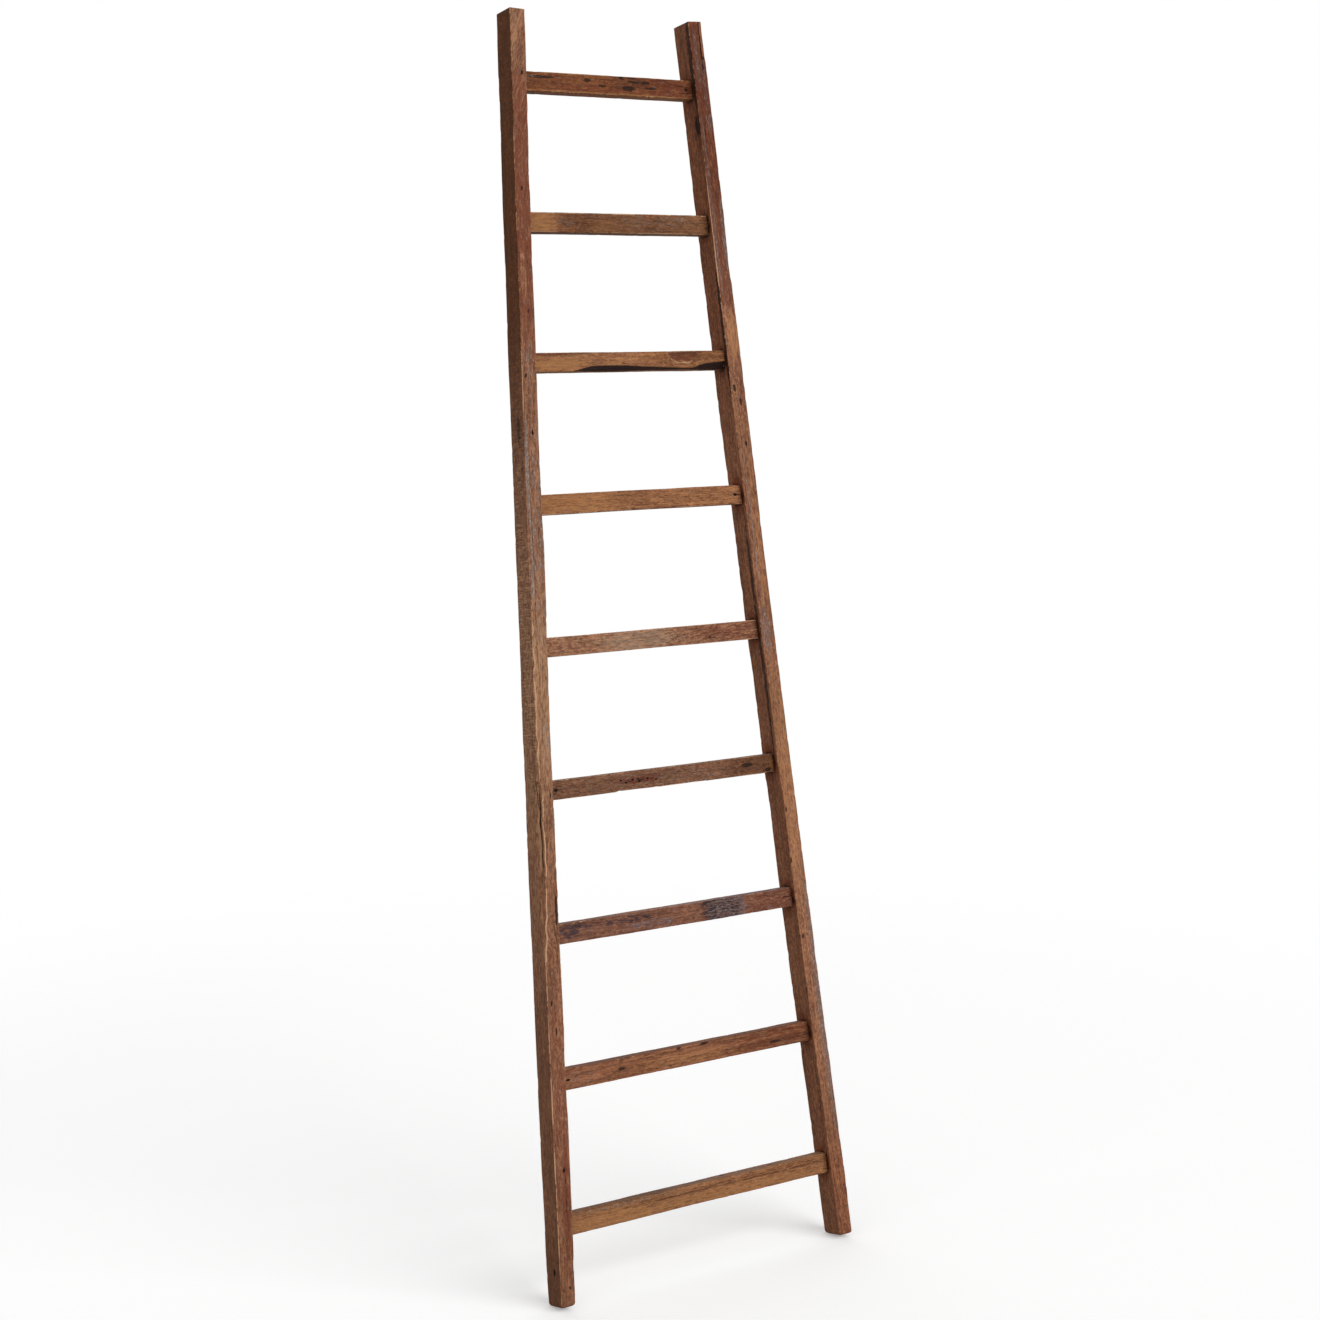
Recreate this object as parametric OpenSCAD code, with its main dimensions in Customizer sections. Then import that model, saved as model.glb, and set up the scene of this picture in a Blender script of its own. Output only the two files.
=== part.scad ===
// Leaning towel ladder: two splayed stiles and nine flat rungs with stub tenons and nails.
// It stands as in use, leaning back towards a wall at +Y, with its front facing -Y.
// The origin is on the floor, in the middle of the ground that the ladder covers.

/* [Frame] */
// Distance between the middles of neighbouring rungs
rung_pitch = 250; // [180:5:265]
// Height of the lowest rung's middle above the feet
foot_rise = 137; // [100:1:200]
// Length of the stiles above the top rung's middle
head_rise = 123; // [60:1:180]
// Width over both stiles at the feet
foot_w = 630; // [520:5:760]
// Width over both stiles at the top
head_w = 400; // [300:5:500]
// Angle at which the ladder leans back
lean = 9; // [5:0.5:15]

/* [Stiles] */
// Width of a stile's front face
stile_w = 30; // [28:1:42]
// Depth of a stile from front to back
stile_d = 48; // [38:1:60]
// How far the middle of a stile sags towards the wall
stile_sag = 10; // [0:1:20]
// Bevel worn around the bottom of each foot
foot_wear = 4; // [1:0.5:6]
// How much further each foot reaches at its back than at its front
foot_over = 4; // [0:0.5:6]
// Height worn off the heel of each foot, where it stands on the floor
heel_wear = 2.5; // [1.5:0.5:4]

/* [Rungs] */
// Height of a rung's front face
rung_h = 35; // [30:1:50]
// Thickness of a rung from front to back
rung_t = 24; // [20:1:30]
// Height of the tenons
tenon_h = 24; // [16:1:26]
// Thickness of the tenons
tenon_t = 16; // [15:1:18]
// Length of the tenons past the shoulder
tenon_l = 18; // [14:1:19]
// Gap on each side of a tenon in its mortise
tenon_play = 0.2; // [0.1:0.05:0.4]
// Room between a tenon's end and the bottom of its mortise
mortise_room = 1; // [0.5:0.5:3]
// Length of the third rung, from its left shoulder, that keeps its lower front arris
wane_start = 75; // [40:5:100]
// Height of the waney bevel on that rung's front, along its first stretch
wane_mid_h = 10; // [6:1:13]
// Height of that bevel where it is narrowest
wane_low_h = 4; // [2:1:6]
// Height of that bevel at the right shoulder
wane_end_h = 15; // [8:1:16]
// Angle at which that bevel runs back and down
wane_slope = 45; // [45:5:60]

/* [Nails] */
// Diameter of a nail's shank
nail_d = 2.2; // [1.8:0.1:2.6]
// Length of a nail under its head
nail_l = 38; // [30:1:40]
// Diameter of a nail's head
nail_head_d = 3.2; // [2.8:0.1:3.6]
// Thickness of a nail's head
nail_head_t = 1.2; // [0.8:0.1:1.6]
// Depth at which the high edge of a nail's head lies under the wood's face
nail_set = 0.3; // [0.1:0.1:0.8]
// Angle between a nail and its rung's length
nail_slant = 28; // [24:1:30]
// How deep in the tenon's thickness a nail crosses the shoulder
nail_bite = 2.8; // [2:0.2:3.6]
// Gap around a nail in its hole
nail_play = 0.1; // [0.05:0.05:0.2]

/* [Hidden] */
$fn = 32;
RUNGS = 9;
STILE_NODES = ["stile_left", "stile_right"];
RUNG_NODES = [for (k = [1:RUNGS]) str("rung_", k)];
NAIL_NODES = [for (k = [1:RUNGS]) str("rung_", k, "_nails")];

stile_colors = ["#845b45", "#85593f"];
rung_colors = ["#6f4330", "#784f39", "#916244", "#946447", "#8f6a52",
    "#6f4e3c", "#705043", "#80533c", "#8c5e42"];
nail_color = "#3b332e";

// What the maker's hand left in each rung, from the top one down
rung_lift = [0, 3, 6, 7, 6, 6, 4, 0, 0];
rung_extra_h = [0, 0, 0, 1, 0, -1, 0, 1.5, 0.5];
rung_set_back = [1, 2, -2, -1, 1, 3, -1, 2, 0];
waney_rungs = [3];
// The waney bevel's upper edge: shares of its run to the right shoulder, and heights
wane_line = [
    [-0.06, -wane_mid_h / 2], [0.12, wane_mid_h], [0.38, wane_mid_h],
    [0.76, wane_low_h], [0.88, 0.8 * wane_end_h], [1, wane_end_h]
];
// Rungs with a nail that shows on the front at their left or right end
front_nails_left = [6, 8];
front_nails_right = [1, 4];

// The frame, measured along its own middle line before it leans
ladder_l = foot_rise + (RUNGS - 1) * rung_pitch + head_rise;
splay = atan((foot_w - head_w) / 2 / ladder_l);
stile_face = stile_w / cos(splay);
// A sag of straight runs, an odd number so that the middle one is flat
sag_runs = 7;
sag_line = [for (i = [0:sag_runs])
    [ladder_l * i / sag_runs, stile_sag * (1 - pow(2 * i / sag_runs - 1, 2))]];

// The feet, cut a little past square to the ladder, so that they stand on their heels
foot_tilt = atan(foot_over / stile_d);
foot_end = stile_d / cos(foot_tilt);
foot_lift = stile_d * sin(lean) + foot_over * cos(lean) - heel_wear;
// The ground covered runs from the front of the feet to the back of the stiles' tops
ground_front = foot_wear * sin(lean + foot_tilt);
ground_back = ladder_l * sin(lean) + stile_d * cos(lean);
ground_mid = (ground_front + ground_back) / 2;

// Distance from a rung's shoulder to the point where its nail was driven
nail_inset = ((rung_t - tenon_t) / 2 + nail_bite) / tan(nail_slant);
// How far down its own slant a nail's head sits
nail_depth = nail_head_d / 2 / tan(nail_slant) + nail_set / sin(nail_slant);

// A length that clears any piece when something is cut past it
past = 60;

function sag(z) = lookup(z, sag_line);
function outer_x(z) = foot_w / 2 - z * tan(splay);
function inner_x(z) = outer_x(z) - stile_face;
function rung_z(k) = foot_rise + (RUNGS - k) * rung_pitch + rung_lift[k - 1];
function rung_face_h(k) = rung_h + rung_extra_h[k - 1];
function rung_front(k) = (stile_d - rung_t) / 2 + rung_set_back[k - 1] + sag(rung_z(k));
function has(list, k) = len([for (n = list) if (n == k) n]) > 0;

// Stands an upright frame on the floor at its lean
module leaning() {
    translate([0, -ground_mid, foot_lift])
        rotate([-lean, 0, 0])
            children();
}

// Puts what is drawn for the left-hand side at the side named by its sign, -1 left and 1 right
module at_side(side) {
    mirror([side > 0 ? 1 : 0, 0, 0])
        children();
}

// One stile's timber with its sag, drawn upright with its outer face on the splay line
module stile_blank() {
    front = [for (p = sag_line) [p[1], p[0] / cos(splay)]];
    back = [for (i = [sag_runs:-1:0]) [front[i][0] + stile_d, front[i][1]]];
    below = [[stile_d, -past], [0, -past]];
    translate([-foot_w / 2, 0, 0])
        rotate([0, splay, 0])
            rotate([90, 0, 90])
                linear_extrude(stile_w)
                    polygon(concat(front, back, below));
}

// The outline of all that lies under a foot of some width, and of the wear that slants up and
// out past both edges
module under_foot(wide) {
    polygon([
        [-past, -2 * past], [wide + past, -2 * past], [wide + past, foot_wear + past],
        [wide - foot_wear, 0], [foot_wear, 0], [-past, foot_wear + past]
    ]);
}

// What is cut off the left foot and off its four edges
module foot_end_cut() {
    translate([-foot_w / 2, 0, 0])
        rotate([-foot_tilt, 0, 0]) {
            translate([-past, 0, 0])
                rotate([90, 0, 90])
                    linear_extrude(stile_face + 2 * past)
                        under_foot(foot_end);
            translate([0, foot_end + past, 0])
                rotate([90, 0, 0])
                    linear_extrude(foot_end + 2 * past)
                        under_foot(stile_face);
        }
}

// What the floor wears off the left foot's heel
module heel_cut() {
    translate([-foot_w / 2 - past, -ground_mid, -past])
        cube([stile_face + 2 * past, stile_d + past, past]);
}

// The hollow for one tenon, cut in from the left stile's inner face
module mortise(k) {
    depth = tenon_l + mortise_room;
    h = tenon_h + 2 * tenon_play;
    t = tenon_t + 2 * tenon_play;
    translate([
        -inner_x(rung_z(k)) - depth,
        rung_front(k) + (rung_t - t) / 2,
        rung_z(k) - h / 2
    ])
        cube([depth + past, t, h]);
}

// Puts a nail drawn along +Z, point up, at the left end of a rung, its whole head below the face
module at_nail(k, in_front) {
    x = -inner_x(rung_z(k)) + nail_inset;
    y = rung_front(k) + (in_front ? 0 : rung_t);
    turn = in_front ? nail_slant : -nail_slant;
    translate([x, y, rung_z(k)])
        rotate([0, 0, -turn])
            rotate([0, -90, 0])
                translate([0, 0, nail_depth])
                    children();
}

module nail() {
    cylinder(h = nail_head_t, d = nail_head_d);
    translate([0, 0, nail_head_t])
        cylinder(h = nail_l, d = nail_d);
}

module nail_hole() {
    translate([0, 0, -past])
        cylinder(h = past + nail_head_t + nail_play, d = nail_head_d + 2 * nail_play);
    cylinder(h = nail_head_t + nail_l + nail_play, d = nail_d + 2 * nail_play);
}

module stile(side) {
    in_front = side < 0 ? front_nails_left : front_nails_right;
    at_side(side)
        difference() {
            leaning()
                difference() {
                    stile_blank();
                    foot_end_cut();
                    for (k = [1:RUNGS]) {
                        mortise(k);
                        at_nail(k, has(in_front, k))
                            nail_hole();
                    }
                }
            heel_cut();
        }
}

// The space between the shoulders, which follow the splay, from one height to another
module between_shoulders(low, high, front, thick) {
    translate([0, front + thick, 0])
        rotate([90, 0, 0])
            linear_extrude(thick)
                polygon([
                    [-inner_x(low), low], [inner_x(low), low],
                    [inner_x(high), high], [-inner_x(high), high]
                ]);
}

module rung_body(k) {
    half_h = rung_face_h(k) / 2;
    between_shoulders(rung_z(k) - half_h, rung_z(k) + half_h, rung_front(k), rung_t);
}

module tenons(k) {
    reach = inner_x(rung_z(k)) + tenon_l;
    translate([-reach, rung_front(k) + (rung_t - tenon_t) / 2, rung_z(k) - tenon_h / 2])
        cube([2 * reach, tenon_t, tenon_h]);
}

// The wood missing from the lower front arris where the batten met the bark, as far as the
// right shoulder
module wane(k) {
    low = rung_z(k) - rung_face_h(k) / 2;
    start = wane_start - inner_x(low);
    run = inner_x(low) - start;
    edge = [for (p = wane_line) [start + p[0] * run, p[1] * cos(wane_slope)]];
    past_end = [[inner_x(low) + past, wane_end_h * cos(wane_slope)]];
    under = [[inner_x(low) + past, -past], [edge[0][0], -past]];
    intersection() {
        translate([0, rung_front(k), low])
            rotate([90 - wane_slope, 0, 0])
                translate([0, 0, -past])
                    linear_extrude(2 * past)
                        polygon(concat(edge, past_end, under));
        between_shoulders(low - past, low + past, rung_front(k) - past, 2 * past);
    }
}

module rung(k) {
    color(rung_colors[k - 1]) leaning()
        difference() {
            union() {
                rung_body(k);
                tenons(k);
            }
            if (has(waney_rungs, k))
                wane(k);
            at_side(-1)
                at_nail(k, has(front_nails_left, k))
                    nail_hole();
            at_side(1)
                at_nail(k, has(front_nails_right, k))
                    nail_hole();
        }
}

module nails(k) {
    color(nail_color) leaning() {
        at_side(-1)
            at_nail(k, has(front_nails_left, k))
                nail();
        at_side(1)
            at_nail(k, has(front_nails_right, k))
                nail();
    }
}

module stile_left() {
    color(stile_colors[0])
        stile(-1);
}

module stile_right() {
    color(stile_colors[1])
        stile(1);
}

stile_left();
stile_right();
for (k = [1:RUNGS]) {
    rung(k);
    nails(k);
}
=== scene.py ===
"""A leaning towel ladder of reclaimed teak, dressed around its packed construction.

Each stile and rung is a worn timber: rings of points run along it, follow its wavering
faces and arrises, and are hollowed where wood is missing. Its holes and mortises are cut
afterwards. Every wood finish is worked out from the timber's own coordinates.
"""

from __future__ import annotations

import logging
import math
from dataclasses import dataclass, replace
from enum import Enum
from typing import Callable, Iterable, Sequence, Union

import bpy
import numpy as np
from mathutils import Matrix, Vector
from mathutils.kdtree import KDTree

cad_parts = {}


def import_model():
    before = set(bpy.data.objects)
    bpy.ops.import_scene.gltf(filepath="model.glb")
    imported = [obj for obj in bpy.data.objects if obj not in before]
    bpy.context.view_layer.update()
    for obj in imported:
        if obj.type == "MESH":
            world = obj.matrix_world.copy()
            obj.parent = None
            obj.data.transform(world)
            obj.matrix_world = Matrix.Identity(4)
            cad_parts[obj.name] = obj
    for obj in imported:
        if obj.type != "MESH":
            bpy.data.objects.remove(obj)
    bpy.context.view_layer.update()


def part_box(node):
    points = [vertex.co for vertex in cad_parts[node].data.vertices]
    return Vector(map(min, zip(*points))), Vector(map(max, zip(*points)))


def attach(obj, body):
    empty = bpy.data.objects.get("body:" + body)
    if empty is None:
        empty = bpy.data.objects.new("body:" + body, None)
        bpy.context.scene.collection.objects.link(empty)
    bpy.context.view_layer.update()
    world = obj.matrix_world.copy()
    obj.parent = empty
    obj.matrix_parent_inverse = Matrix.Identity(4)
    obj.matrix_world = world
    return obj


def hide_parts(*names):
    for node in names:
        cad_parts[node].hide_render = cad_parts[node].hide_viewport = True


LOG = logging.getLogger("towel_ladder")
MM = 0.001
BODY = "root"
BAKE_MAP = "OFBake"
WHITE = (1.0, 1.0, 1.0, 1.0)

Array = np.ndarray
Socket = bpy.types.NodeSocket
Value = Union[float, tuple, Socket]


# Noise

HASH_STEPS = (374761393, 668265263, 1442695041, 1274126177)
HASH_SHIFTS = (13, 16)
HASH_BITS = 0xFFFFFFFF
LOW_BITS = 0xFFFF


def lattice(i: Array, j: Array, k: Array, seed: int) -> Array:
    """Gives each corner of a cubic grid its own steady value.

    Args:
        i: Corner numbers along the first axis.
        j: Corner numbers along the second axis.
        k: Corner numbers along the third axis.
        seed: Picks one field of values.

    Returns:
        Values from -1 to 1, one for each corner.
    """
    mixed = i * HASH_STEPS[0] + j * HASH_STEPS[1] + k * HASH_STEPS[2] + seed * HASH_STEPS[3]
    mixed = mixed & HASH_BITS
    mixed = ((mixed ^ (mixed >> HASH_SHIFTS[0])) * HASH_STEPS[3]) & HASH_BITS
    return ((mixed ^ (mixed >> HASH_SHIFTS[1])) & LOW_BITS) / (LOW_BITS / 2) - 1.0


def lumps(points: Array, size: Sequence[float], seed: int) -> Array:
    """Gives smooth noise at points.

    Args:
        points: Places, with three coordinates in the last axis.
        size: Size of the lumps along each of the three axes.
        seed: Picks one field of noise.

    Returns:
        Values from -1 to 1, one for each point.
    """
    grid = points / np.asarray(size, float)
    cell = np.floor(grid).astype(np.int64)
    part = grid - cell
    part = part * part * (3 - 2 * part)
    total = np.zeros(points.shape[:-1])
    for corner in np.ndindex(2, 2, 2):
        weight = np.prod(np.where(np.array(corner) == 1, part, 1 - part), axis=-1)
        at = cell + np.array(corner)
        total += weight * lattice(at[..., 0], at[..., 1], at[..., 2], seed)
    return total


def sway(along: Array, size: float, seed: int) -> Array:
    """Gives smooth noise from -1 to 1 along a line, with waves of about the given size."""
    points = np.stack([along, np.zeros_like(along), np.zeros_like(along)], axis=-1)
    return lumps(points, (size, 1.0, 1.0), seed)


def waves(along: Array, kinds: Sequence, seed: int, mean: float = 0.0) -> Array:
    """Adds several kinds of waves along a line to a mean.

    Args:
        along: Places along the line.
        kinds: For each kind, the size of its waves, its share and its own draw.
        seed: Picks one field of waves.
        mean: What they are added to.

    Returns:
        The sum at each place.
    """
    return sum((share * sway(along, size, seed + draw) for size, share, draw in kinds), mean)


def smooth(value: Array) -> Array:
    """Eases a share from 0 to 1, and holds it there outside."""
    share = np.clip(value, 0, 1)
    return share * share * (3 - 2 * share)


# The construction


@dataclass(frozen=True)
class LadderFrame:
    """Driving sizes of the construction, in metres and degrees.

    A height along the ladder is measured before it leans, and so is a depth from the
    plane of its front. What the maker's hand left in each rung is given from the top down.
    """

    back_of_top: float
    rungs: int = 9
    rung_pitch: float = 0.250
    foot_rise: float = 0.137
    head_rise: float = 0.123
    foot_w: float = 0.630
    head_w: float = 0.400
    lean: float = 9.0
    stile_w: float = 0.030
    stile_d: float = 0.048
    stile_sag: float = 0.010
    foot_over: float = 0.004
    heel_wear: float = 0.0025
    rung_h: float = 0.035
    rung_t: float = 0.024
    tenon_h: float = 0.024
    tenon_t: float = 0.016
    tenon_l: float = 0.018
    tenon_play: float = 0.0002
    mortise_room: float = 0.001
    nail_d: float = 0.0022
    nail_l: float = 0.038
    nail_head_d: float = 0.0032
    nail_head_t: float = 0.0012
    nail_set: float = 0.0003
    nail_slant: float = 28.0
    nail_bite: float = 0.0028
    nail_play: float = 0.0001
    rung_lift: tuple = (0, 3, 6, 7, 6, 6, 4, 0, 0)
    rung_extra_h: tuple = (0, 0, 0, 1, 0, -1, 0, 1.5, 0.5)
    rung_set_back: tuple = (1, 2, -2, -1, 1, 3, -1, 2, 0)
    front_nails_left: tuple = (6, 8)
    front_nails_right: tuple = (1, 4)

    @property
    def length(self) -> float:
        """Length of the ladder along its own middle line."""
        return self.foot_rise + (self.rungs - 1) * self.rung_pitch + self.head_rise

    @property
    def foot_lift(self) -> float:
        """Height of the front of the feet above their worn heels, which stand on the floor."""
        turn = math.radians(self.lean)
        return self.stile_d * math.sin(turn) + self.foot_over * math.cos(turn) - self.heel_wear

    @property
    def splay(self) -> float:
        """Angle in radians between a stile and the middle line."""
        return math.atan((self.foot_w - self.head_w) / 2 / self.length)

    def sag(self, z: Array) -> Array:
        """How far the stiles sag towards the wall at a height along the ladder."""
        return self.stile_sag * (1 - (2 * np.clip(z / self.length, 0, 1) - 1) ** 2)

    def inner_x(self, z: Array) -> Array:
        """Distance from the middle to a stile's inner face at a height along the ladder."""
        outer = self.foot_w / 2 - z * math.tan(self.splay)
        return outer - self.stile_w / math.cos(self.splay)

    def rung_z(self, k: int) -> float:
        """Height along the ladder of the middle of rung k."""
        return self.foot_rise + (self.rungs - k) * self.rung_pitch + self.rung_lift[k - 1] * MM

    def rung_face_h(self, k: int) -> float:
        """Height of rung k's front face."""
        return self.rung_h + self.rung_extra_h[k - 1] * MM

    def rung_front(self, k: int) -> float:
        """Depth of rung k's front face."""
        inset = (self.stile_d - self.rung_t) / 2 + self.rung_set_back[k - 1] * MM
        return inset + float(self.sag(self.rung_z(k)))

    def nail_in_front(self, k: int, side: int) -> bool:
        """Whether the nail at rung k's end shows on the front, for side -1 left or 1 right."""
        return k in (self.front_nails_left if side < 0 else self.front_nails_right)

    def on_floor(self, x: Array, depth: Array, z: Array) -> Array:
        """Stands points of the upright ladder on the floor at its lean.

        Args:
            x: Distances to the right of the middle.
            depth: Depths behind the plane of the front.
            z: Heights along the ladder.

        Returns:
            The places in the room, with three coordinates in the last axis.
        """
        turn = math.radians(self.lean)
        top_back = self.stile_d * math.cos(turn) + self.length * math.sin(turn)
        y = depth * math.cos(turn) + z * math.sin(turn) + self.back_of_top - top_back
        up = z * math.cos(turn) - depth * math.sin(turn) + self.foot_lift
        return np.stack(np.broadcast_arrays(x, y, up), axis=-1)

    def nail_line(self, k: int, side: int) -> tuple:
        """Where the nail at one end of rung k is driven.

        Args:
            k: The rung's number, from the top one down.
            side: -1 for its left end and 1 for its right end.

        Returns:
            The point on the rung's face and the nail's direction, before the ladder leans.
        """
        slant = math.radians(self.nail_slant)
        inset = ((self.rung_t - self.tenon_t) / 2 + self.nail_bite) / math.tan(slant)
        z = self.rung_z(k)
        in_front = self.nail_in_front(k, side)
        depth = self.rung_front(k) + (0 if in_front else self.rung_t)
        start = np.array([side * (float(self.inner_x(z)) - inset), depth, z])
        inward = 1 if in_front else -1
        return start, np.array([side * math.cos(slant), inward * math.sin(slant), 0.0])

    @property
    def nail_depth(self) -> float:
        """How far down its own slant a nail's head sits."""
        slant = math.radians(self.nail_slant)
        return self.nail_head_d / 2 / math.tan(slant) + self.nail_set / math.sin(slant)


# What wear and growth left on a timber, and painted shade, in millimetres from its near end and its low
# edge


class Face(Enum):
    """A timber's long faces, each with its outward direction across the section.

    On a stile, LOW is the outer side and HIGH the inner one. On a rung, LOW is the
    underside and HIGH the top.
    """

    FRONT = (0.0, -1.0)
    HIGH = (1.0, 0.0)
    BACK = (0.0, 1.0)
    LOW = (-1.0, 0.0)


class Tint(Enum):
    """What a mark does to the wood's colour, under the name of the field that it fills."""

    DARK = "dark"
    GREY = "grey"
    PALE = "pale"
    RED = "red"
    KNOT = "knot"
    SAWN = "sawn"
    SHADE = "shade"
    WORN = "worn"


F, H, B, L = Face.FRONT, Face.HIGH, Face.BACK, Face.LOW
DARK, GREY, PALE, RED = Tint.DARK, Tint.GREY, Tint.PALE, Tint.RED
KNOT, SAWN, SHADE, WORN = Tint.KNOT, Tint.SAWN, Tint.SHADE, Tint.WORN


@dataclass(frozen=True)
class Spots:
    """Points of a timber's skin, a row for each ring.

    Across the section, a runs from the LOW face to the HIGH one and b from the front to
    the back, and s runs along the timber. The outward direction has the parts out_a and
    out_b.
    """

    a: Array
    b: Array
    s: Array
    out_a: Array
    out_b: Array

    @property
    def solid(self) -> Array:
        """The three coordinates in the last axis."""
        return np.stack([self.a, self.b, self.s], axis=-1)

    def across(self, face: Face) -> Array:
        """How far each point is across a face, in millimetres."""
        return (self.a if face in (Face.FRONT, Face.BACK) else self.b) / MM

    def share(self, face: Face) -> Array:
        """How much each point belongs to a face, from 0 to 1, easing over the arris."""
        turned = self.out_a * face.value[0] + self.out_b * face.value[1]
        return smooth(0.5 + FACE_EASE * (turned - 0.5))

    def swollen(self, far: Array) -> Spots:
        """The same points, each moved outward by its own distance."""
        return replace(self, a=self.a + self.out_a * far, b=self.b + self.out_b * far)


@dataclass(frozen=True)
class Mark:
    """A patch of another tint on one face."""

    tint: Tint
    face: Face
    at: float
    up: float
    length: float
    height: float
    strength: float = 1.0
    soft: float = 0.9
    square: bool = False

    def strength_at(self, spots: Spots) -> Array:
        """Works out how strong the mark is.

        Args:
            spots: Points of the skin.

        Returns:
            The strength at each point.
        """
        power = 4 if self.square else 2
        far_along = np.abs(spots.s / MM - self.at) / (self.length / 2)
        far_across = np.abs(spots.across(self.face) - self.up) / (self.height / 2)
        far = (far_along**power + far_across**power) ** (1 / power)
        return self.strength * smooth((1 + self.soft / 2 - far) / self.soft) * spots.share(self.face)


@dataclass(frozen=True)
class Scoop:
    """A shallow hollow in one face, where wood is worn or broken away."""

    face: Face
    at: float
    up: float
    length: float
    height: float
    depth: float
    soft: float = 0.9
    # How dark the hollow is painted: grime, and painted shade in the hollow
    grime_and_shade: float = 0.0
    rim: float = 0.0


@dataclass(frozen=True)
class Crack:
    """A narrow groove that wanders along one face."""

    face: Face
    start: float
    end: float
    up_start: float
    up_end: float
    width: float
    depth: float
    # How dark the groove is painted: grime, and painted shade in the groove
    grime_and_shade: float = 1.0
    waver: float = 0.8
    rim: float = 0.7


@dataclass(frozen=True)
class Hole:
    """A small deep hole, square to one face."""

    face: Face
    at: float
    up: float
    length: float
    height: float
    depth: float = 5.0


@dataclass(frozen=True)
class Bevel:
    """Wood missing from the arris between the front and the LOW or HIGH face.

    Each stop gives a place along the timber and how much of the front is missing there.
    The slope is the angle at which the bevel leaves the plane of the front, the bark share is
    how much of it is painted near-black, as the tree's dark skin left on it and as painted shade
    on it, and rim is how much its edges are rubbed.
    """

    face: Face
    stops: tuple
    slope: float = 45.0
    waver: float = 0.4
    bark: float = 0.0
    rim: float = 0.9


# Timbers

ARC_STEPS = 4
CAP_SHARES = (0.62, 0.28)
SLANT_STEPS = 400
BEVEL_ROOM = 3
CLOSEST = 0.8
PAST = 0.03
SHARP_TURN = 42
MAP_GAP = 4 * MM
SAME_POINT = 0.02 * MM
NEARLY_UPRIGHT = 0.1
LUMP_DRAW = 7

# Waves along a timber, each with its size in metres, its share and its own draw
FACE_WAVES = ((0.31, 0.75, 0), (0.083, 0.4, 5))
ARRIS_WAVES = ((0.12, 0.5, 0), (0.023, 0.5, 7))
CRACK_WAVES = ((0.018, 0.35, 92),)
SLANT_WAVES = ((0.16, 0.03, 61),)
FACE_DRAWS = 17
ARRIS_DRAWS = 31
ARRIS_MEAN = 1.1
ARRIS_LEAST = 0.4 * MM
ARRIS_GROWTH = 0.35
ARRIS_REACH = 3 * MM
CHIP_SIZE = 0.013
CHIP_DRAW = 13
CHIP_FROM = 0.35
CHIP_EASE = 0.5

# Sawn roughness of the faces: its height, the size of its lumps and its own draw
ROUGHNESS = (
    (0.10 * MM, (0.011, 0.011, 0.045), 3),
    (0.05 * MM, (0.005, 0.005, 0.012), 4),
)

# How hollows and bevels run out
FACE_EASE = 0.9
SCOOP_LUMPS = (0.006, 0.006, 0.009)
SCOOP_LUMP_SHARE = 0.12
CRACK_MEAN = 0.75
CRACK_BEND = 0.05
CRACK_DRAW = 91
CRACK_TAPER = 6
CRACK_LEAST = 0.05
CRACK_EDGE = 1.3
CRACK_RIM = 2.6
BEVEL_WAVE = 0.02
BEVEL_DRAW = 45
BEVEL_LEAST = 0.5 * MM
BEVEL_EASE = 1.5 * MM
RIM_EDGE = 1.6
RIM_WIDTH = 2.0 * MM
RIM_DEPTHS = (1.5, 4.0)
RIM_SHARES = (1.0, 0.3)

# Holes: their profile in shares of depth and size, and how uneven they are
HOLE_PROFILE = ((-1.0, 1.15), (0.0, 1.0), (0.5, 0.8), (1.0, 0.35))
HOLE_SIDES = 12
HOLE_LUMP = 0.12
NAIL_HOLE_SIDES = 16
NAIL_HOLE_LUMP = 0.03
NAIL_HOLE_MOUTH = 1.25


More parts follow.
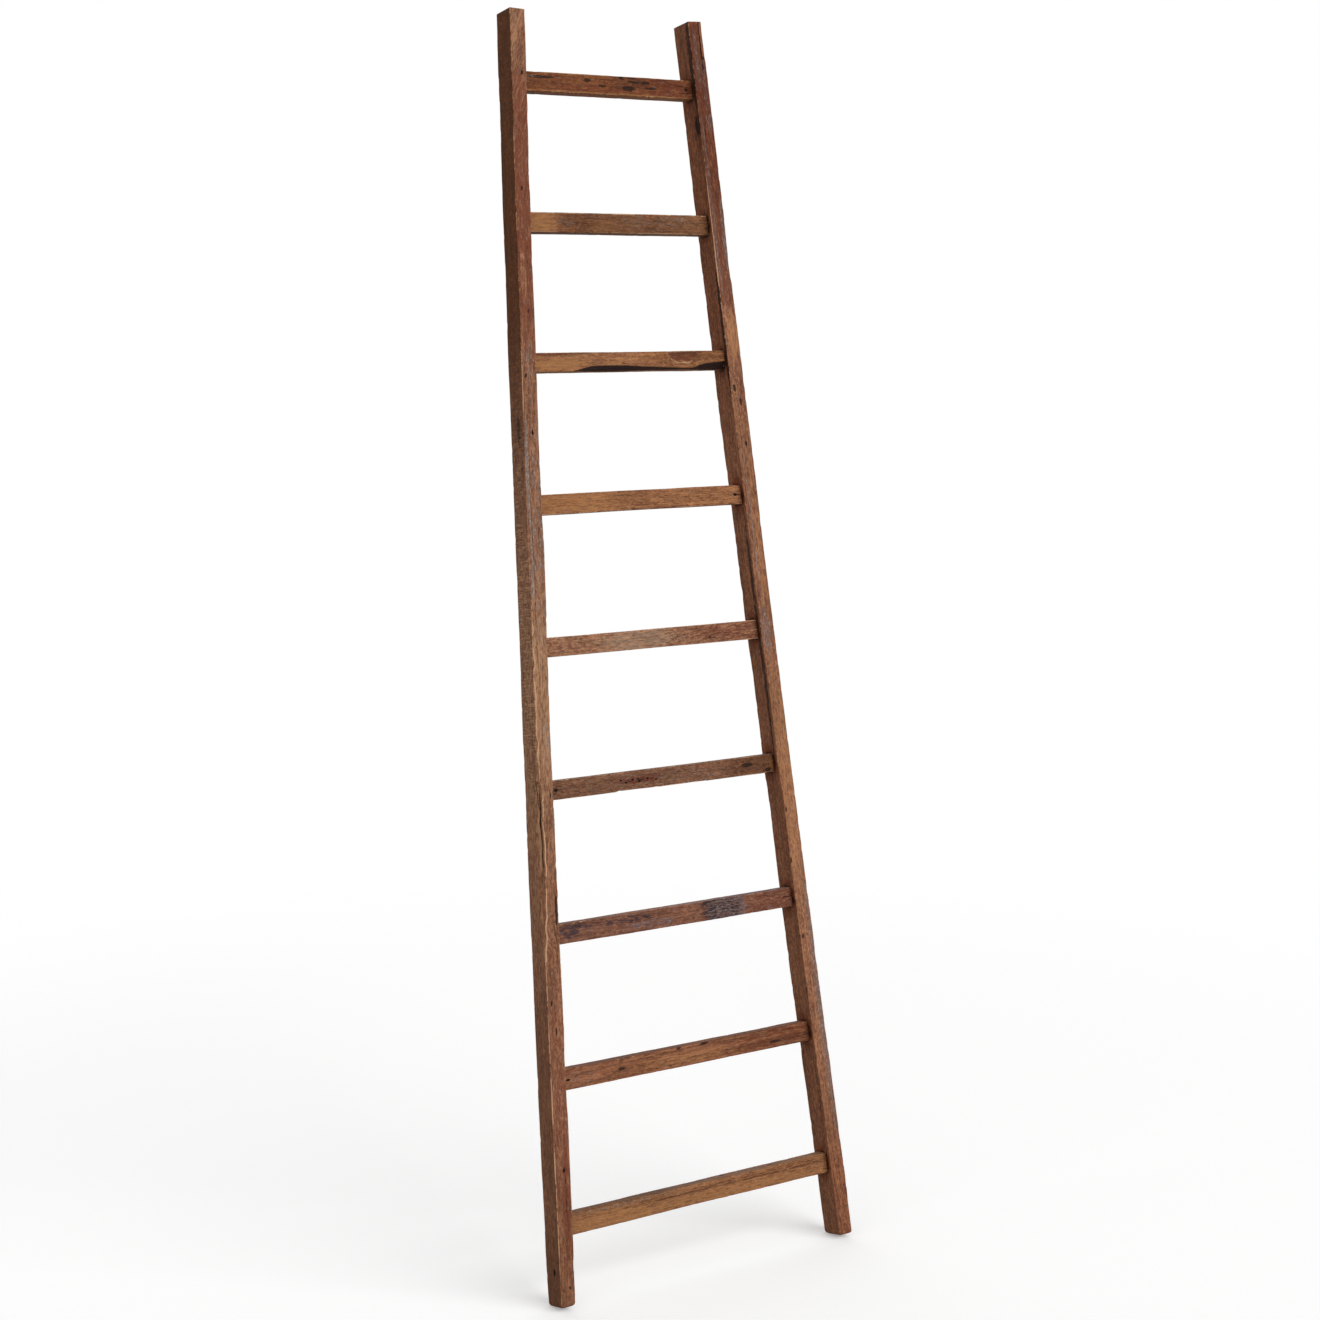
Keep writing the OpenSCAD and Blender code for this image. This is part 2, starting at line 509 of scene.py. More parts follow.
class Piece:
    """Collects a closed mesh and turns it into an object of the scene."""

    def __init__(self, name: str) -> None:
        """Starts an empty piece under the name that it will have."""
        self.name = name
        self.points: list = []
        self.faces: list = []

    def lathe(self, start: Array, direction: Array, profile: Sequence, sides: int,
              stretch: tuple = (1.0, 1.0), lump: float = 0.0, seed: int = 0) -> None:
        """Adds a turned solid.

        Args:
            start: The point from which the profile is measured.
            direction: The axis, of length 1.
            profile: Pairs of distance along the axis and radius, in order.
            sides: Number of sides.
            stretch: Scales of the radius along the two directions across the axis.
            lump: Share of the radius by which it varies.
            seed: Picks the variation.
        """
        across = np.cross(direction, (0.0, 0.0, 1.0))
        if np.linalg.norm(across) < NEARLY_UPRIGHT:
            across = np.array([1.0, 0.0, 0.0])
        across = across / np.linalg.norm(across)
        other = np.cross(direction, across)
        first = len(self.points)
        for row, (along, radius) in enumerate(profile):
            for side in range(sides):
                turn = math.tau * side / sides
                rough = lattice(np.int64(side), np.int64(row), np.int64(LUMP_DRAW), seed)
                reach = radius * (1 + lump * float(rough))
                offset = across * math.cos(turn) * stretch[0] + other * math.sin(turn) * stretch[1]
                self.points.append(start + direction * along + offset * reach)
        for row in range(len(profile) - 1):
            for side in range(sides):
                low = first + row * sides
                after = (side + 1) % sides
                self.faces.append((low + side, low + after, low + sides + after, low + sides + side))
        self.faces.append(tuple(range(first + sides - 1, first - 1, -1)))
        last = first + (len(profile) - 1) * sides
        self.faces.append(tuple(range(last, last + sides)))

    def block(self, corners: Array) -> None:
        """Adds a box from its eight corners, the near four in turn and then the far four.

        Args:
            corners: The eight corners.
        """
        first = len(self.points)
        self.points.extend(corners)
        sides = [(0, 1, 2, 3), (7, 6, 5, 4), (0, 4, 5, 1), (1, 5, 6, 2), (2, 6, 7, 3), (3, 7, 4, 0)]
        self.faces.extend(tuple(first + corner for corner in side) for side in sides)

    def make(self) -> bpy.types.Object:
        """Builds the mesh, with its faces outward, and links its object to the scene.

        Returns:
            The object.
        """
        mesh = bpy.data.meshes.new(self.name)
        mesh.from_pydata([tuple(point) for point in self.points], [], self.faces)
        if signed_volume(mesh) < 0:
            mesh.flip_normals()
        return linked(self.name, mesh)


def linked(name: str, data: bpy.types.ID) -> bpy.types.Object:
    """Makes an object of a mesh, a lamp or a camera and links it to the scene."""
    thing = bpy.data.objects.new(name, data)
    bpy.context.scene.collection.objects.link(thing)
    return thing


def coordinates(mesh: bpy.types.Mesh) -> Array:
    """Reads a mesh's points as an array with a row for each."""
    flat = np.zeros(len(mesh.vertices) * 3, np.float32)
    mesh.vertices.foreach_get("co", flat)
    return flat.reshape(-1, 3).astype(float)


def signed_volume(mesh: bpy.types.Mesh) -> float:
    """Measures a closed mesh's volume, which is below zero where its faces look inward.

    Args:
        mesh: The mesh.

    Returns:
        The volume.
    """
    mesh.calc_loop_triangles()
    corners = np.zeros(len(mesh.loop_triangles) * 3, np.int32)
    mesh.loop_triangles.foreach_get("vertices", corners)
    a, b, c = (coordinates(mesh)[corners[start::3]] for start in range(3))
    return float(np.einsum("ij,ij->i", a, np.cross(b, c)).sum()) / 6


def carve(thing: bpy.types.Object, cutter: Piece) -> None:
    """Cuts a set of closed shapes out of an object and keeps the result as its mesh.

    Args:
        thing: The object to cut.
        cutter: The shapes, none of which may run through another.
    """
    tool = cutter.make()
    step = thing.modifiers.new("cut", "BOOLEAN")
    step.operation = "DIFFERENCE"
    step.solver = "MANIFOLD"
    step.object = tool
    graph = bpy.context.evaluated_depsgraph_get()
    cut = bpy.data.meshes.new_from_object(thing.evaluated_get(graph), depsgraph=graph)
    thing.modifiers.remove(step)
    old = thing.data
    name = old.name
    thing.data = cut
    bpy.data.objects.remove(tool)
    bpy.data.meshes.remove(old)
    cut.name = name


@dataclass(frozen=True)
class Rings:
    """A timber's rings, one in each row: points in the room, solid coordinates and fields.

    The solid coordinates are those of the grown wood, and the finish reads the fields by
    their names.
    """

    points: Array
    solid: Array
    fields: dict


@dataclass
class Timber:
    """One worn batten of rectangular section, as a closed mesh with fields for its finish.

    Sizes are in metres, and a, b and s are the coordinates of its spots.
    """

    frame: LadderFrame
    name: str
    wide: float
    deep: float
    long: float
    seed: int
    marks: tuple = ()
    scoops: tuple = ()
    cracks: tuple = ()
    holes: tuple = ()
    bevels: tuple = ()
    step: float = 0.0024
    arris: float = 0.0010
    slant: tuple = ((0, 0.0),)
    waver: float = 0.0010
    chips: float = 0.0014
    fine_step: float = 0.0009
    fine_margin: float = 0.002

    def shares(self, face: Face, size: float) -> list:
        """Spaces the points across one face, closer together where a crack or a bevel runs.

        Args:
            face: The face.
            size: Its width in metres.

        Returns:
            Shares of its width, in the order of the ring.
        """
        count = round(size / self.step)
        places = {i / count for i in range(count + 1)}
        zones = [(min(crack.up_start, crack.up_end), max(crack.up_start, crack.up_end))
                 for crack in self.cracks if crack.face is face]
        for bevel in self.bevels:
            most = max(stop[1] for stop in bevel.stops)
            wide = size / MM
            if face is Face.FRONT:
                zones.append((0, most) if bevel.face is Face.LOW else (wide - most, wide))
            elif face is bevel.face:
                zones.append((0, BEVEL_ROOM))
        for low, high in zones:
            low, high = low * MM - self.fine_margin, high * MM + self.fine_margin
            more = round((high - low) / self.fine_step)
            places |= {(low + (high - low) * i / more) / size for i in range(more + 1)}
        kept = [0.0]
        least = self.fine_step / size * CLOSEST
        for place in sorted(places):
            if place - kept[-1] > least and 0 < place < 1 - least:
                kept.append(place)
        kept.append(1.0)
        if face in (Face.BACK, Face.LOW):
            kept = [1 - place for place in reversed(kept)]
        return kept

    def columns(self) -> tuple:
        """Plans the points of a ring.

        Returns:
            For each point, the stretch that it lies on and its share of that stretch.
            Stretches 0, 2, 4 and 6 are the faces, in Face's order, and the odd ones the
            arrises after them.
        """
        stretch, share = [], []
        sizes = (self.wide, self.deep, self.wide, self.deep)
        for number, (face, size) in enumerate(zip(Face, sizes)):
            places = self.shares(face, size)
            stretch += [2 * number] * len(places)
            share += places
            stretch += [2 * number + 1] * (ARC_STEPS - 1)
            share += [i / ARC_STEPS for i in range(1, ARC_STEPS)]
        return np.array(stretch), np.array(share)

    def section(self, s: Array, low_a: Array, high_a: Array, low_b: Array, high_b: Array,
                radii: Sequence) -> Spots:
        """Lays rings of points round rectangular sections with rounded arrises.

        Args:
            s: Place of each ring along the timber.
            low_a: Place of the LOW face in each ring.
            high_a: Place of the HIGH face in each ring.
            low_b: Place of the front in each ring.
            high_b: Place of the back in each ring.
            radii: Radius of each arris in each ring, in the order of the stretches.

        Returns:
            The points.
        """
        stretch, share = self.columns()
        middles = [
            (high_a - radii[0], low_b + radii[0]), (high_a - radii[1], high_b - radii[1]),
            (low_a + radii[2], high_b - radii[2]), (low_a + radii[3], low_b + radii[3]),
        ]
        rows = len(low_a)
        a, b = np.zeros((rows, len(share))), np.zeros((rows, len(share)))
        out_a, out_b = np.zeros((rows, len(share))), np.zeros((rows, len(share)))
        for corner, (mid_a, mid_b) in enumerate(middles):
            first_turn = math.radians(90 * corner - 90)
            arc = stretch == 2 * corner + 1
            turn = first_turn + math.pi / 2 * share[arc]
            a[:, arc] = mid_a[:, None] + radii[corner][:, None] * np.cos(turn)
            b[:, arc] = mid_b[:, None] + radii[corner][:, None] * np.sin(turn)
            out_a[:, arc], out_b[:, arc] = np.cos(turn), np.sin(turn)
            flat = stretch == 2 * corner
            direction = (math.cos(first_turn), math.sin(first_turn))
            before_a, before_b = middles[corner - 1]
            start_a = before_a + radii[corner - 1] * direction[0]
            start_b = before_b + radii[corner - 1] * direction[1]
            end_a = mid_a + radii[corner] * direction[0]
            end_b = mid_b + radii[corner] * direction[1]
            a[:, flat] = start_a[:, None] + (end_a - start_a)[:, None] * share[flat]
            b[:, flat] = start_b[:, None] + (end_b - start_b)[:, None] * share[flat]
            out_a[:, flat], out_b[:, flat] = direction
        return Spots(a, b, np.broadcast_to(s[:, None], a.shape), out_a, out_b)

    def worn_section(self, s: Array, inset: Array) -> Spots:
        """Lays the rings of the worn timber, with wavering faces and arrises.

        Args:
            s: Place of each ring along the timber.
            inset: How far each ring is drawn in, where an end is rounded.

        Returns:
            The points.
        """
        def face_wave(number: int) -> Array:
            """Wave of one face along the timber."""
            return self.waver * waves(s, FACE_WAVES, self.seed * FACE_DRAWS + number)

        radii = []
        for number in range(4):
            seed = self.seed * ARRIS_DRAWS + number
            chip = smooth((sway(s, CHIP_SIZE, seed + CHIP_DRAW) - CHIP_FROM) / CHIP_EASE)
            radius = self.arris * waves(s, ARRIS_WAVES, seed, ARRIS_MEAN)
            radius = np.maximum(radius, ARRIS_LEAST)
            radii.append(radius + self.chips * chip + ARRIS_GROWTH * inset)
        low_a = inset - face_wave(0)
        high_a = self.wide - inset + face_wave(1) * self.free(s)
        low_b = inset - face_wave(2)
        high_b = self.deep - inset + face_wave(3)
        return self.section(s, low_a, high_a, low_b, high_b, radii)

    def hollows(self, spots: Spots) -> tuple:
        """Works out how deep the scoops and cracks are at each point.

        Args:
            spots: Points of the skin.

        Returns:
            Depths in metres, the grime and painted shade that lie in them and how near
            their rims are, both from 0 to 1.
        """
        s = spots.s
        depth, grime_and_shade, rim = (np.zeros_like(s) for _ in range(3))
        for scoop in self.scoops:
            far_along = (s / MM - scoop.at) / (scoop.length / 2)
            far_across = (spots.across(scoop.face) - scoop.up) / (scoop.height / 2)
            far = np.hypot(far_along, far_across)
            far += SCOOP_LUMP_SHARE * lumps(spots.solid, SCOOP_LUMPS, self.seed)
            share = smooth((1 + scoop.soft / 2 - far) / scoop.soft) * spots.share(scoop.face)
            depth = np.maximum(depth, scoop.depth * MM * share)
            grime_and_shade = np.maximum(grime_and_shade, scoop.grime_and_shade * share)
            rim = np.maximum(rim, scoop.rim * 4 * share * (1 - share))
        for crack in self.cracks:
            part = (s / MM - crack.start) / (crack.end - crack.start)
            middle = crack.up_start + (crack.up_end - crack.up_start) * part
            middle = middle + crack.waver * sway(s, CRACK_BEND, self.seed + CRACK_DRAW)
            taper = smooth(np.minimum(part, 1 - part) * CRACK_TAPER)
            size = crack.width * waves(s, CRACK_WAVES, self.seed, CRACK_MEAN) * taper
            far = np.abs(spots.across(crack.face) - middle) / np.maximum(size, CRACK_LEAST)
            inside = taper * spots.share(crack.face)
            share = smooth(CRACK_EDGE - far) * inside
            depth = np.maximum(depth, crack.depth * MM * share)
            grime_and_shade = np.maximum(grime_and_shade, crack.grime_and_shade * share)
            rim = np.maximum(rim, crack.rim * (smooth(CRACK_RIM - far) * inside - share))
        return depth, grime_and_shade, rim

    def bevelled(self, bevel: Bevel, spots: Spots) -> tuple:
        """Pushes the points that lie past a bevel back onto it.

        Args:
            bevel: The bevel.
            spots: Points of the skin.

        Returns:
            The points, the share by which each has moved, and how near it is to the
            bevel's edge.
        """
        a, b, s = spots.a, spots.b, spots.s
        stops = np.array(bevel.stops) * MM
        missing = np.interp(s, stops[:, 0], stops[:, 1])
        wave = sway(s, BEVEL_WAVE, self.seed + BEVEL_DRAW)
        missing = missing + bevel.waver * MM * wave * (missing > 0)
        slope = math.radians(bevel.slope)
        side = bevel.face.value[0]
        edge = self.wide if side > 0 else 0.0
        out_a, out_b = side * math.sin(slope), -math.cos(slope)
        past = (a - (edge - side * missing)) * out_a + b * out_b
        near = bevel.rim * np.clip(RIM_EDGE - np.abs(past) / RIM_WIDTH, 0, 1)
        near = near * (missing > BEVEL_LEAST) * np.interp(b / MM, RIM_DEPTHS, RIM_SHARES)
        past = np.where(missing > 0, np.maximum(past, 0), 0)
        spots = replace(spots, a=a - past * out_a, b=b - past * out_b)
        return spots, smooth(past / BEVEL_EASE), near

    def place(self, a: Array, b: Array, s: Array) -> Array:
        """Puts points of the timber where they are in the room."""
        raise NotImplementedError

    def rows(self) -> tuple:
        """Gives the place of each ring along the timber and how far it is drawn in."""
        raise NotImplementedError

    def grid(self) -> Rings:
        """Works out the worn timber's rings.

        Returns:
            The rings.
        """
        spots = self.worn_section(*self.rows())
        arris, bark = self.arris_field(spots), np.zeros_like(spots.a)
        for bevel in self.bevels:
            spots, moved, near = self.bevelled(bevel, spots)
            bark = np.maximum(bark, moved * bevel.bark)
            arris = np.maximum(arris * (1 - moved), near)
        depth, grime_and_shade, rim = self.hollows(spots)
        fields = {"arris": np.maximum(arris, rim) * (1 - bark), "bark": bark, "grime_and_shade": grime_and_shade}
        rough = sum(tall * lumps(spots.solid, size, self.seed + draw)
                    for tall, size, draw in ROUGHNESS)
        spots = spots.swollen(rough - depth)
        for tint in Tint:
            fields[tint.value] = self.painted(tint, spots)
        grown = replace(spots, a=spots.a - self.drift(spots.s))
        return Rings(self.place(spots.a, spots.b, spots.s), grown.solid, fields)

    def drift(self, s: Array) -> Array:
        """Follows the slanting grain.

        Args:
            s: Places along the timber.

        Returns:
            How far the grain has run across the timber at each of them.
        """
        stops = np.array(self.slant)
        along = np.linspace(0, self.long, SLANT_STEPS)
        slope = np.interp(along / MM, stops[:, 0], stops[:, 1])
        slope = slope + waves(along, SLANT_WAVES, self.seed)
        return np.interp(s, along, np.cumsum(slope) * along[1])

    def free(self, s: Array) -> Array:
        """How freely the HIGH face wavers at each place, as a share of the others' waver."""
        return np.ones_like(s)

    def arris_field(self, spots: Spots) -> Array:
        """Works out how near the points are to an arris.

        Args:
            spots: Points of the skin.

        Returns:
            A value for each point, from 1 on an arris to 0 a short way off.
        """
        from_a = np.minimum(np.abs(spots.a), np.abs(self.wide - spots.a))
        from_b = np.minimum(np.abs(spots.b), np.abs(self.deep - spots.b))
        away = np.maximum(from_a, from_b) - self.arris / 2
        return np.clip(1 - away / ARRIS_REACH, 0, 1)

    def painted(self, tint: Tint, spots: Spots) -> Array:
        """Strength of one tint at each point, from all the marks that have it."""
        strengths = [mark.strength_at(spots) for mark in self.marks if mark.tint is tint]
        return np.max([np.zeros_like(spots.a), *strengths], axis=0)

    def build(self) -> bpy.types.Object:
        """Builds the timber's mesh with its fields and cuts its holes.

        Returns:
            The object.
        """
        rings = self.capped(self.grid())
        thing = self.skin(rings.points)
        for cutter in self.cutters():
            if cutter.faces:
                carve(thing, cutter)
        self.refill(thing.data, rings)
        thing.data.shade_smooth()
        thing.data.set_sharp_from_angle(angle=math.radians(SHARP_TURN))
        return thing

    def capped(self, rings: Rings) -> Rings:
        """Closes the ends evenly.

        Args:
            rings: The timber's rings.

        Returns:
            The same with smaller rings inside both end rings.
        """
        def closed(rows: Array, fade: bool) -> Array:
            """One array with the smaller rings before and after it.

            Args:
                rows: The array, a row for each ring.
                fade: Whether its values run out to nothing.

            Returns:
                The longer array.
            """
            near, far = rows[0], rows[-1]
            near_mid, far_mid = near.mean(axis=0), far.mean(axis=0)
            if fade:
                near_mid, far_mid = near_mid * 0, far_mid * 0
            before = [near_mid + (near - near_mid) * share for share in reversed(CAP_SHARES)]
            after = [far_mid + (far - far_mid) * share for share in CAP_SHARES]
            return np.concatenate([np.array(before), rows, np.array(after)])

        fields = {name: closed(field, name == "arris") for name, field in rings.fields.items()}
        return Rings(closed(rings.points, False), closed(rings.solid, False), fields)

    def skin(self, points: Array) -> bpy.types.Object:
        """Joins the rings to a closed mesh and lays its map for baking.

        Args:
            points: Points in the room, a row for each ring.

        Returns:
            The object.
        """
        rows, count = points.shape[:2]
        piece = Piece(self.name)
        piece.points = list(points.reshape(-1, 3))
        piece.points += [points[0].mean(axis=0), points[-1].mean(axis=0)]
        near, far = rows * count, rows * count + 1
        for row in range(rows - 1):
            low, high = row * count, (row + 1) * count
            for column in range(count):
                after = (column + 1) % count
                piece.faces.append((low + column, low + after, high + after, high + column))
        last = (rows - 1) * count
        for column in range(count):
            after = (column + 1) % count
            piece.faces.append((near, after, column))
            piece.faces.append((far, last + column, last + after))
        thing = piece.make()
        self.lay_map(thing.data, points)
        return thing

    def lay_map(self, mesh: bpy.types.Mesh, points: Array) -> None:
        """Lays the skin flat in bands side by side, so that a square picture holds it well.

        Args:
            mesh: The closed mesh.
            points: Its points, a row for each ring.
        """
        rows, count = points.shape[:2]
        middle = points[rows // 2]
        round_steps = np.linalg.norm(np.roll(middle, -1, axis=0) - middle, axis=1)
        around = np.concatenate([[0], np.cumsum(round_steps)])
        steps = np.linalg.norm(np.diff(points, axis=0), axis=2).max(axis=1)
        along = np.concatenate([[0], np.cumsum(steps)])
        bands = max(1, round(math.sqrt(along[-1] / around[-1])))
        band_length = along[-1] / bands + 2 * self.step
        scale = 1 / max(bands * (around[-1] + MAP_GAP), band_length + 3 * MAP_GAP)
        corners = np.zeros(len(mesh.loops), np.int32)
        mesh.loops.foreach_get("vertex_index", corners)
        row, column = corners // count, corners % count
        uv = np.zeros((len(corners), 2))
        starts = np.zeros(len(mesh.polygons), np.int32)
        mesh.polygons.foreach_get("loop_start", starts)
        ends = np.append(starts[1:], len(corners))
        for start, end in zip(starts, ends):
            rim = corners[start:end] < rows * count
            face_rows, face_columns = row[start:end], column[start:end].copy()
            if face_columns[rim].max() - face_columns[rim].min() > count / 2:
                face_columns[rim & (face_columns == 0)] = count
            at_near = corners[start:end].max() == rows * count
            low = 0 if at_near else face_rows[rim].min()
            band = min(int(along[low] / band_length), bands - 1)
            flat_u = around[np.minimum(face_columns, count)]
            flat_v = along[np.minimum(face_rows, rows - 1)] - band * band_length
            middle_u = flat_u[rim].mean()
            flat_u = np.where(rim, flat_u, middle_u)
            middle_v = flat_v[rim].mean() + (-1 if at_near else 1) * MAP_GAP / 2
            flat_v = np.where(rim, flat_v, middle_v)
            uv[start:end, 0] = (flat_u + band * (around[-1] + MAP_GAP) + MAP_GAP / 2) * scale
            uv[start:end, 1] = (flat_v + MAP_GAP) * scale
        layer = mesh.uv_layers.new(name=BAKE_MAP)
        layer.data.foreach_set("uv", uv.astype(np.float32).ravel())

    def refill(self, mesh: bpy.types.Mesh, rings: Rings) -> None:
        """Writes the fields on the finished mesh, whose cuts have changed its points.

        A point of the old skin keeps its values. Others lie in cuts, so they take the
        nearest one's and are full of grime and painted shade.

        Args:
            mesh: The finished mesh.
            rings: The rings of the old skin.
        """
        flat, now = rings.points.reshape(-1, 3), coordinates(mesh)
        tree = KDTree(len(flat))
        for index, point in enumerate(flat):
            tree.insert(point, index)
        tree.balance()
        found = [tree.find(point) for point in now]
        nearest = np.array([index for _, index, _ in found])
        cut = np.array([distance for _, _, distance in found]) > SAME_POINT
        own = rings.solid.reshape(-1, 3)[nearest]
        write_field(mesh, "timber", own + np.where(cut[:, None], now - flat[nearest], 0))
        for name, field in rings.fields.items():
            values = field.reshape(-1)[nearest]
            write_field(mesh, name, np.where(cut, 1.0, values) if name == "grime_and_shade" else values)

    def cutters(self) -> list:
        """Plans the cuts.

        Returns:
            The sets of shapes to cut out, one after the other.
        """
        worn = Piece(self.name + "_holes")
        for hole in self.holes:
            self.add_hole(worn, hole)
        return [worn]

    def add_hole(self, cutter: Piece, hole: Hole) -> None:
        """Adds the shape of one small hole to a cutter.

        Args:
            cutter: The set of shapes.
            hole: The hole.
        """
        across = {Face.FRONT: (hole.up * MM, 0.0), Face.BACK: (hole.up * MM, self.deep),
                  Face.LOW: (0.0, hole.up * MM), Face.HIGH: (self.wide, hole.up * MM)}[hole.face]
        at = [np.array([value]) for value in (*across, hole.at * MM)]
        start = self.place(*at)[0]
        a, b = hole.face.value
        inside = [at[0] - a * MM, at[1] - b * MM, at[2]]
        inward = self.place(*inside)[0] - start
        beyond = self.place(at[0], at[1], at[2] + MM)[0] - start
        inward, beyond = inward / np.linalg.norm(inward), beyond / np.linalg.norm(beyond)
        across_axis = np.cross(inward, (0.0, 0.0, 1.0))
        lengthwise = abs(float(np.dot(across_axis / np.linalg.norm(across_axis), beyond))) > 0.5
        sizes = (hole.length * MM / 2, hole.height * MM / 2)
        stretch = sizes if lengthwise else sizes[::-1]
        profile = [(share * hole.depth * MM, radius) for share, radius in HOLE_PROFILE]
        seed = self.seed + int(hole.at)
        cutter.lathe(start, inward, profile, HOLE_SIDES, stretch, HOLE_LUMP, seed)

    def add_nail_hole(self, cutter: Piece, k: int, side: int) -> None:
        """Adds the hole of one nail to a cutter, with room for its head above it.

        Args:
            cutter: The set of shapes.
            k: The rung's number, from the top one down.
            side: -1 for the rung's left end and 1 for its right end.
        """
        frame = self.frame
        start, direction = frame.nail_line(k, side)
        origin = frame.on_floor(*start)
        aim = frame.on_floor(*(start + direction)) - origin
        head = frame.nail_depth + frame.nail_head_t + frame.nail_play
        wide, narrow = frame.nail_head_d / 2 + frame.nail_play, frame.nail_d / 2 + frame.nail_play
        mouth, end = NAIL_HOLE_MOUTH * wide, head + frame.nail_l
        profile = [(-PAST / 3, mouth), (0.0, wide), (head, wide), (head, narrow), (end, narrow)]
        cutter.lathe(origin, aim, profile, NAIL_HOLE_SIDES, lump=NAIL_HOLE_LUMP, seed=self.seed + k)


def write_field(mesh: bpy.types.Mesh, name: str, values: Array) -> None:
    """Writes one field of numbers or vectors on a mesh's points."""
    kind, key = ("FLOAT_VECTOR", "vector") if values.ndim == 2 else ("FLOAT", "value")
    layer = mesh.attributes.new(name, kind, "POINT")
    layer.data.foreach_set(key, values.astype(np.float32).ravel())


ROUND_TURNS = (0, 15, 30, 45, 60, 78)
RING_STEP = 1.2
STILL_WAVER = 0.25
FREE_WAVER = 1.35
STILL_REACH = 26 * MM
FREE_REACH = 40 * MM

# Grime and painted shade round a rung's end, where it meets the stile: tint, place in front
# of the rung, length, height, strength, softness and whether it is square
END_GRIME_AND_SHADE = (
    (SHADE, 0, 74, 46, 0.75, 0.9, False),
    (DARK, 0, 44, 31, 0.75, 0.5, True),
    (DARK, -17, 40, 9, 0.6, 0.9, False),
)


@dataclass
class Stile(Timber):
    """One of the two uprights, with its foot cut just past square and nine blind mortises."""

    side: int = -1
    foot_round: float = 0.0050
    foot_worn_h: float = 0.0075
    foot_reach: float = 0.15
    head_round: float = 0.0016

    def place(self, a: Array, b: Array, s: Array) -> Array:
        """Puts points of the stile where they are in the room, with its heel on the floor.

        Args:
            a: Places from the LOW face to the HIGH one.
            b: Depths behind the front.
            s: Places along the timber.

        Returns:
            The places in the room.
        """
        frame, splay = self.frame, self.frame.splay
        lift = math.sin(splay) * a - frame.foot_over / frame.stile_d * b
        along = s + lift * np.clip(1 - s / self.foot_reach, 0, 1)
        z = along * math.cos(splay) - a * math.sin(splay)
        x = a * math.cos(splay) + along * math.sin(splay) - frame.foot_w / 2
        room = frame.on_floor(-self.side * x, b + frame.sag(z), z)
        room[..., 2] = np.maximum(room[..., 2], 0)
        return room

    def stains(self) -> tuple:
        """Gives the grime and the painted shade on the inner face round each rung's end.

        Returns:
            The marks.
        """
        frame, stains = self.frame, []
        for k, end in enumerate(self.rung_ends(), start=1):
            up = (frame.rung_front(k) - float(frame.sag(frame.rung_z(k))) + frame.rung_t / 2) / MM
            stains += [Mark(tint, H, end / MM, up + ahead, *rest) for tint, ahead, *rest in END_GRIME_AND_SHADE]
        return tuple(stains)

    def rung_ends(self) -> list:
        """Places along the stile where the middles of the rungs meet it, from the top down."""
        frame = self.frame
        return [(frame.rung_z(k) + self.wide * math.sin(frame.splay)) / math.cos(frame.splay)
                for k in range(1, frame.rungs + 1)]

    def free(self, s: Array) -> Array:
        """Holds the inner face nearly still at the rungs and lets it waver between them."""
        away = np.min([np.abs(s - at) for at in self.rung_ends()], axis=0)
        return STILL_WAVER + FREE_WAVER * smooth((away - STILL_REACH) / FREE_REACH)

    def rows(self) -> tuple:
        """Rings up the stile, drawn in where its foot and its head are rounded.

        Returns:
            The place of each ring and how far it is drawn in.
        """
        turns = np.radians(ROUND_TURNS)
        rise, inset = 1 - np.cos(turns), 1 - np.sin(turns)
        foot_s, foot_in = self.foot_worn_h * rise, self.foot_round * inset
        head_s, head_in = self.head_round * rise, self.head_round * inset
        count = round(self.long / (RING_STEP * self.step))
        body = np.linspace(self.foot_worn_h, self.long - self.head_round, count)
        s = np.concatenate([foot_s, body, self.long - head_s[::-1]])
        return s, np.concatenate([foot_in, np.zeros(count), head_in[::-1]])

    def cutters(self) -> list:
        """Gives the mortises, and then the nails' holes with the small ones.

        Returns:
            The two sets of shapes.
        """
        frame = self.frame
        mortises, nails = Piece(self.name + "_mortises"), super().cutters()[0]
        for k in range(1, frame.rungs + 1):
            z = frame.rung_z(k)
            half_h = frame.tenon_h / 2 + frame.tenon_play
            half_t = frame.tenon_t / 2 + frame.tenon_play
            middle = frame.rung_front(k) + frame.rung_t / 2
            inner = float(frame.inner_x(z))
            corners = [
                frame.on_floor(self.side * x, middle + turn_t * half_t, z + turn_h * half_h)
                for x in (inner - PAST / 2, inner + frame.tenon_l + frame.mortise_room)
                for turn_t, turn_h in ((-1, -1), (1, -1), (1, 1), (-1, 1))
            ]
            mortises.block(np.array(corners))
            self.add_nail_hole(nails, k, self.side)
        return [mortises, nails]


SHOULDER_REACH = 2.5 * MM
SHOULDER_SHARE = 0.85


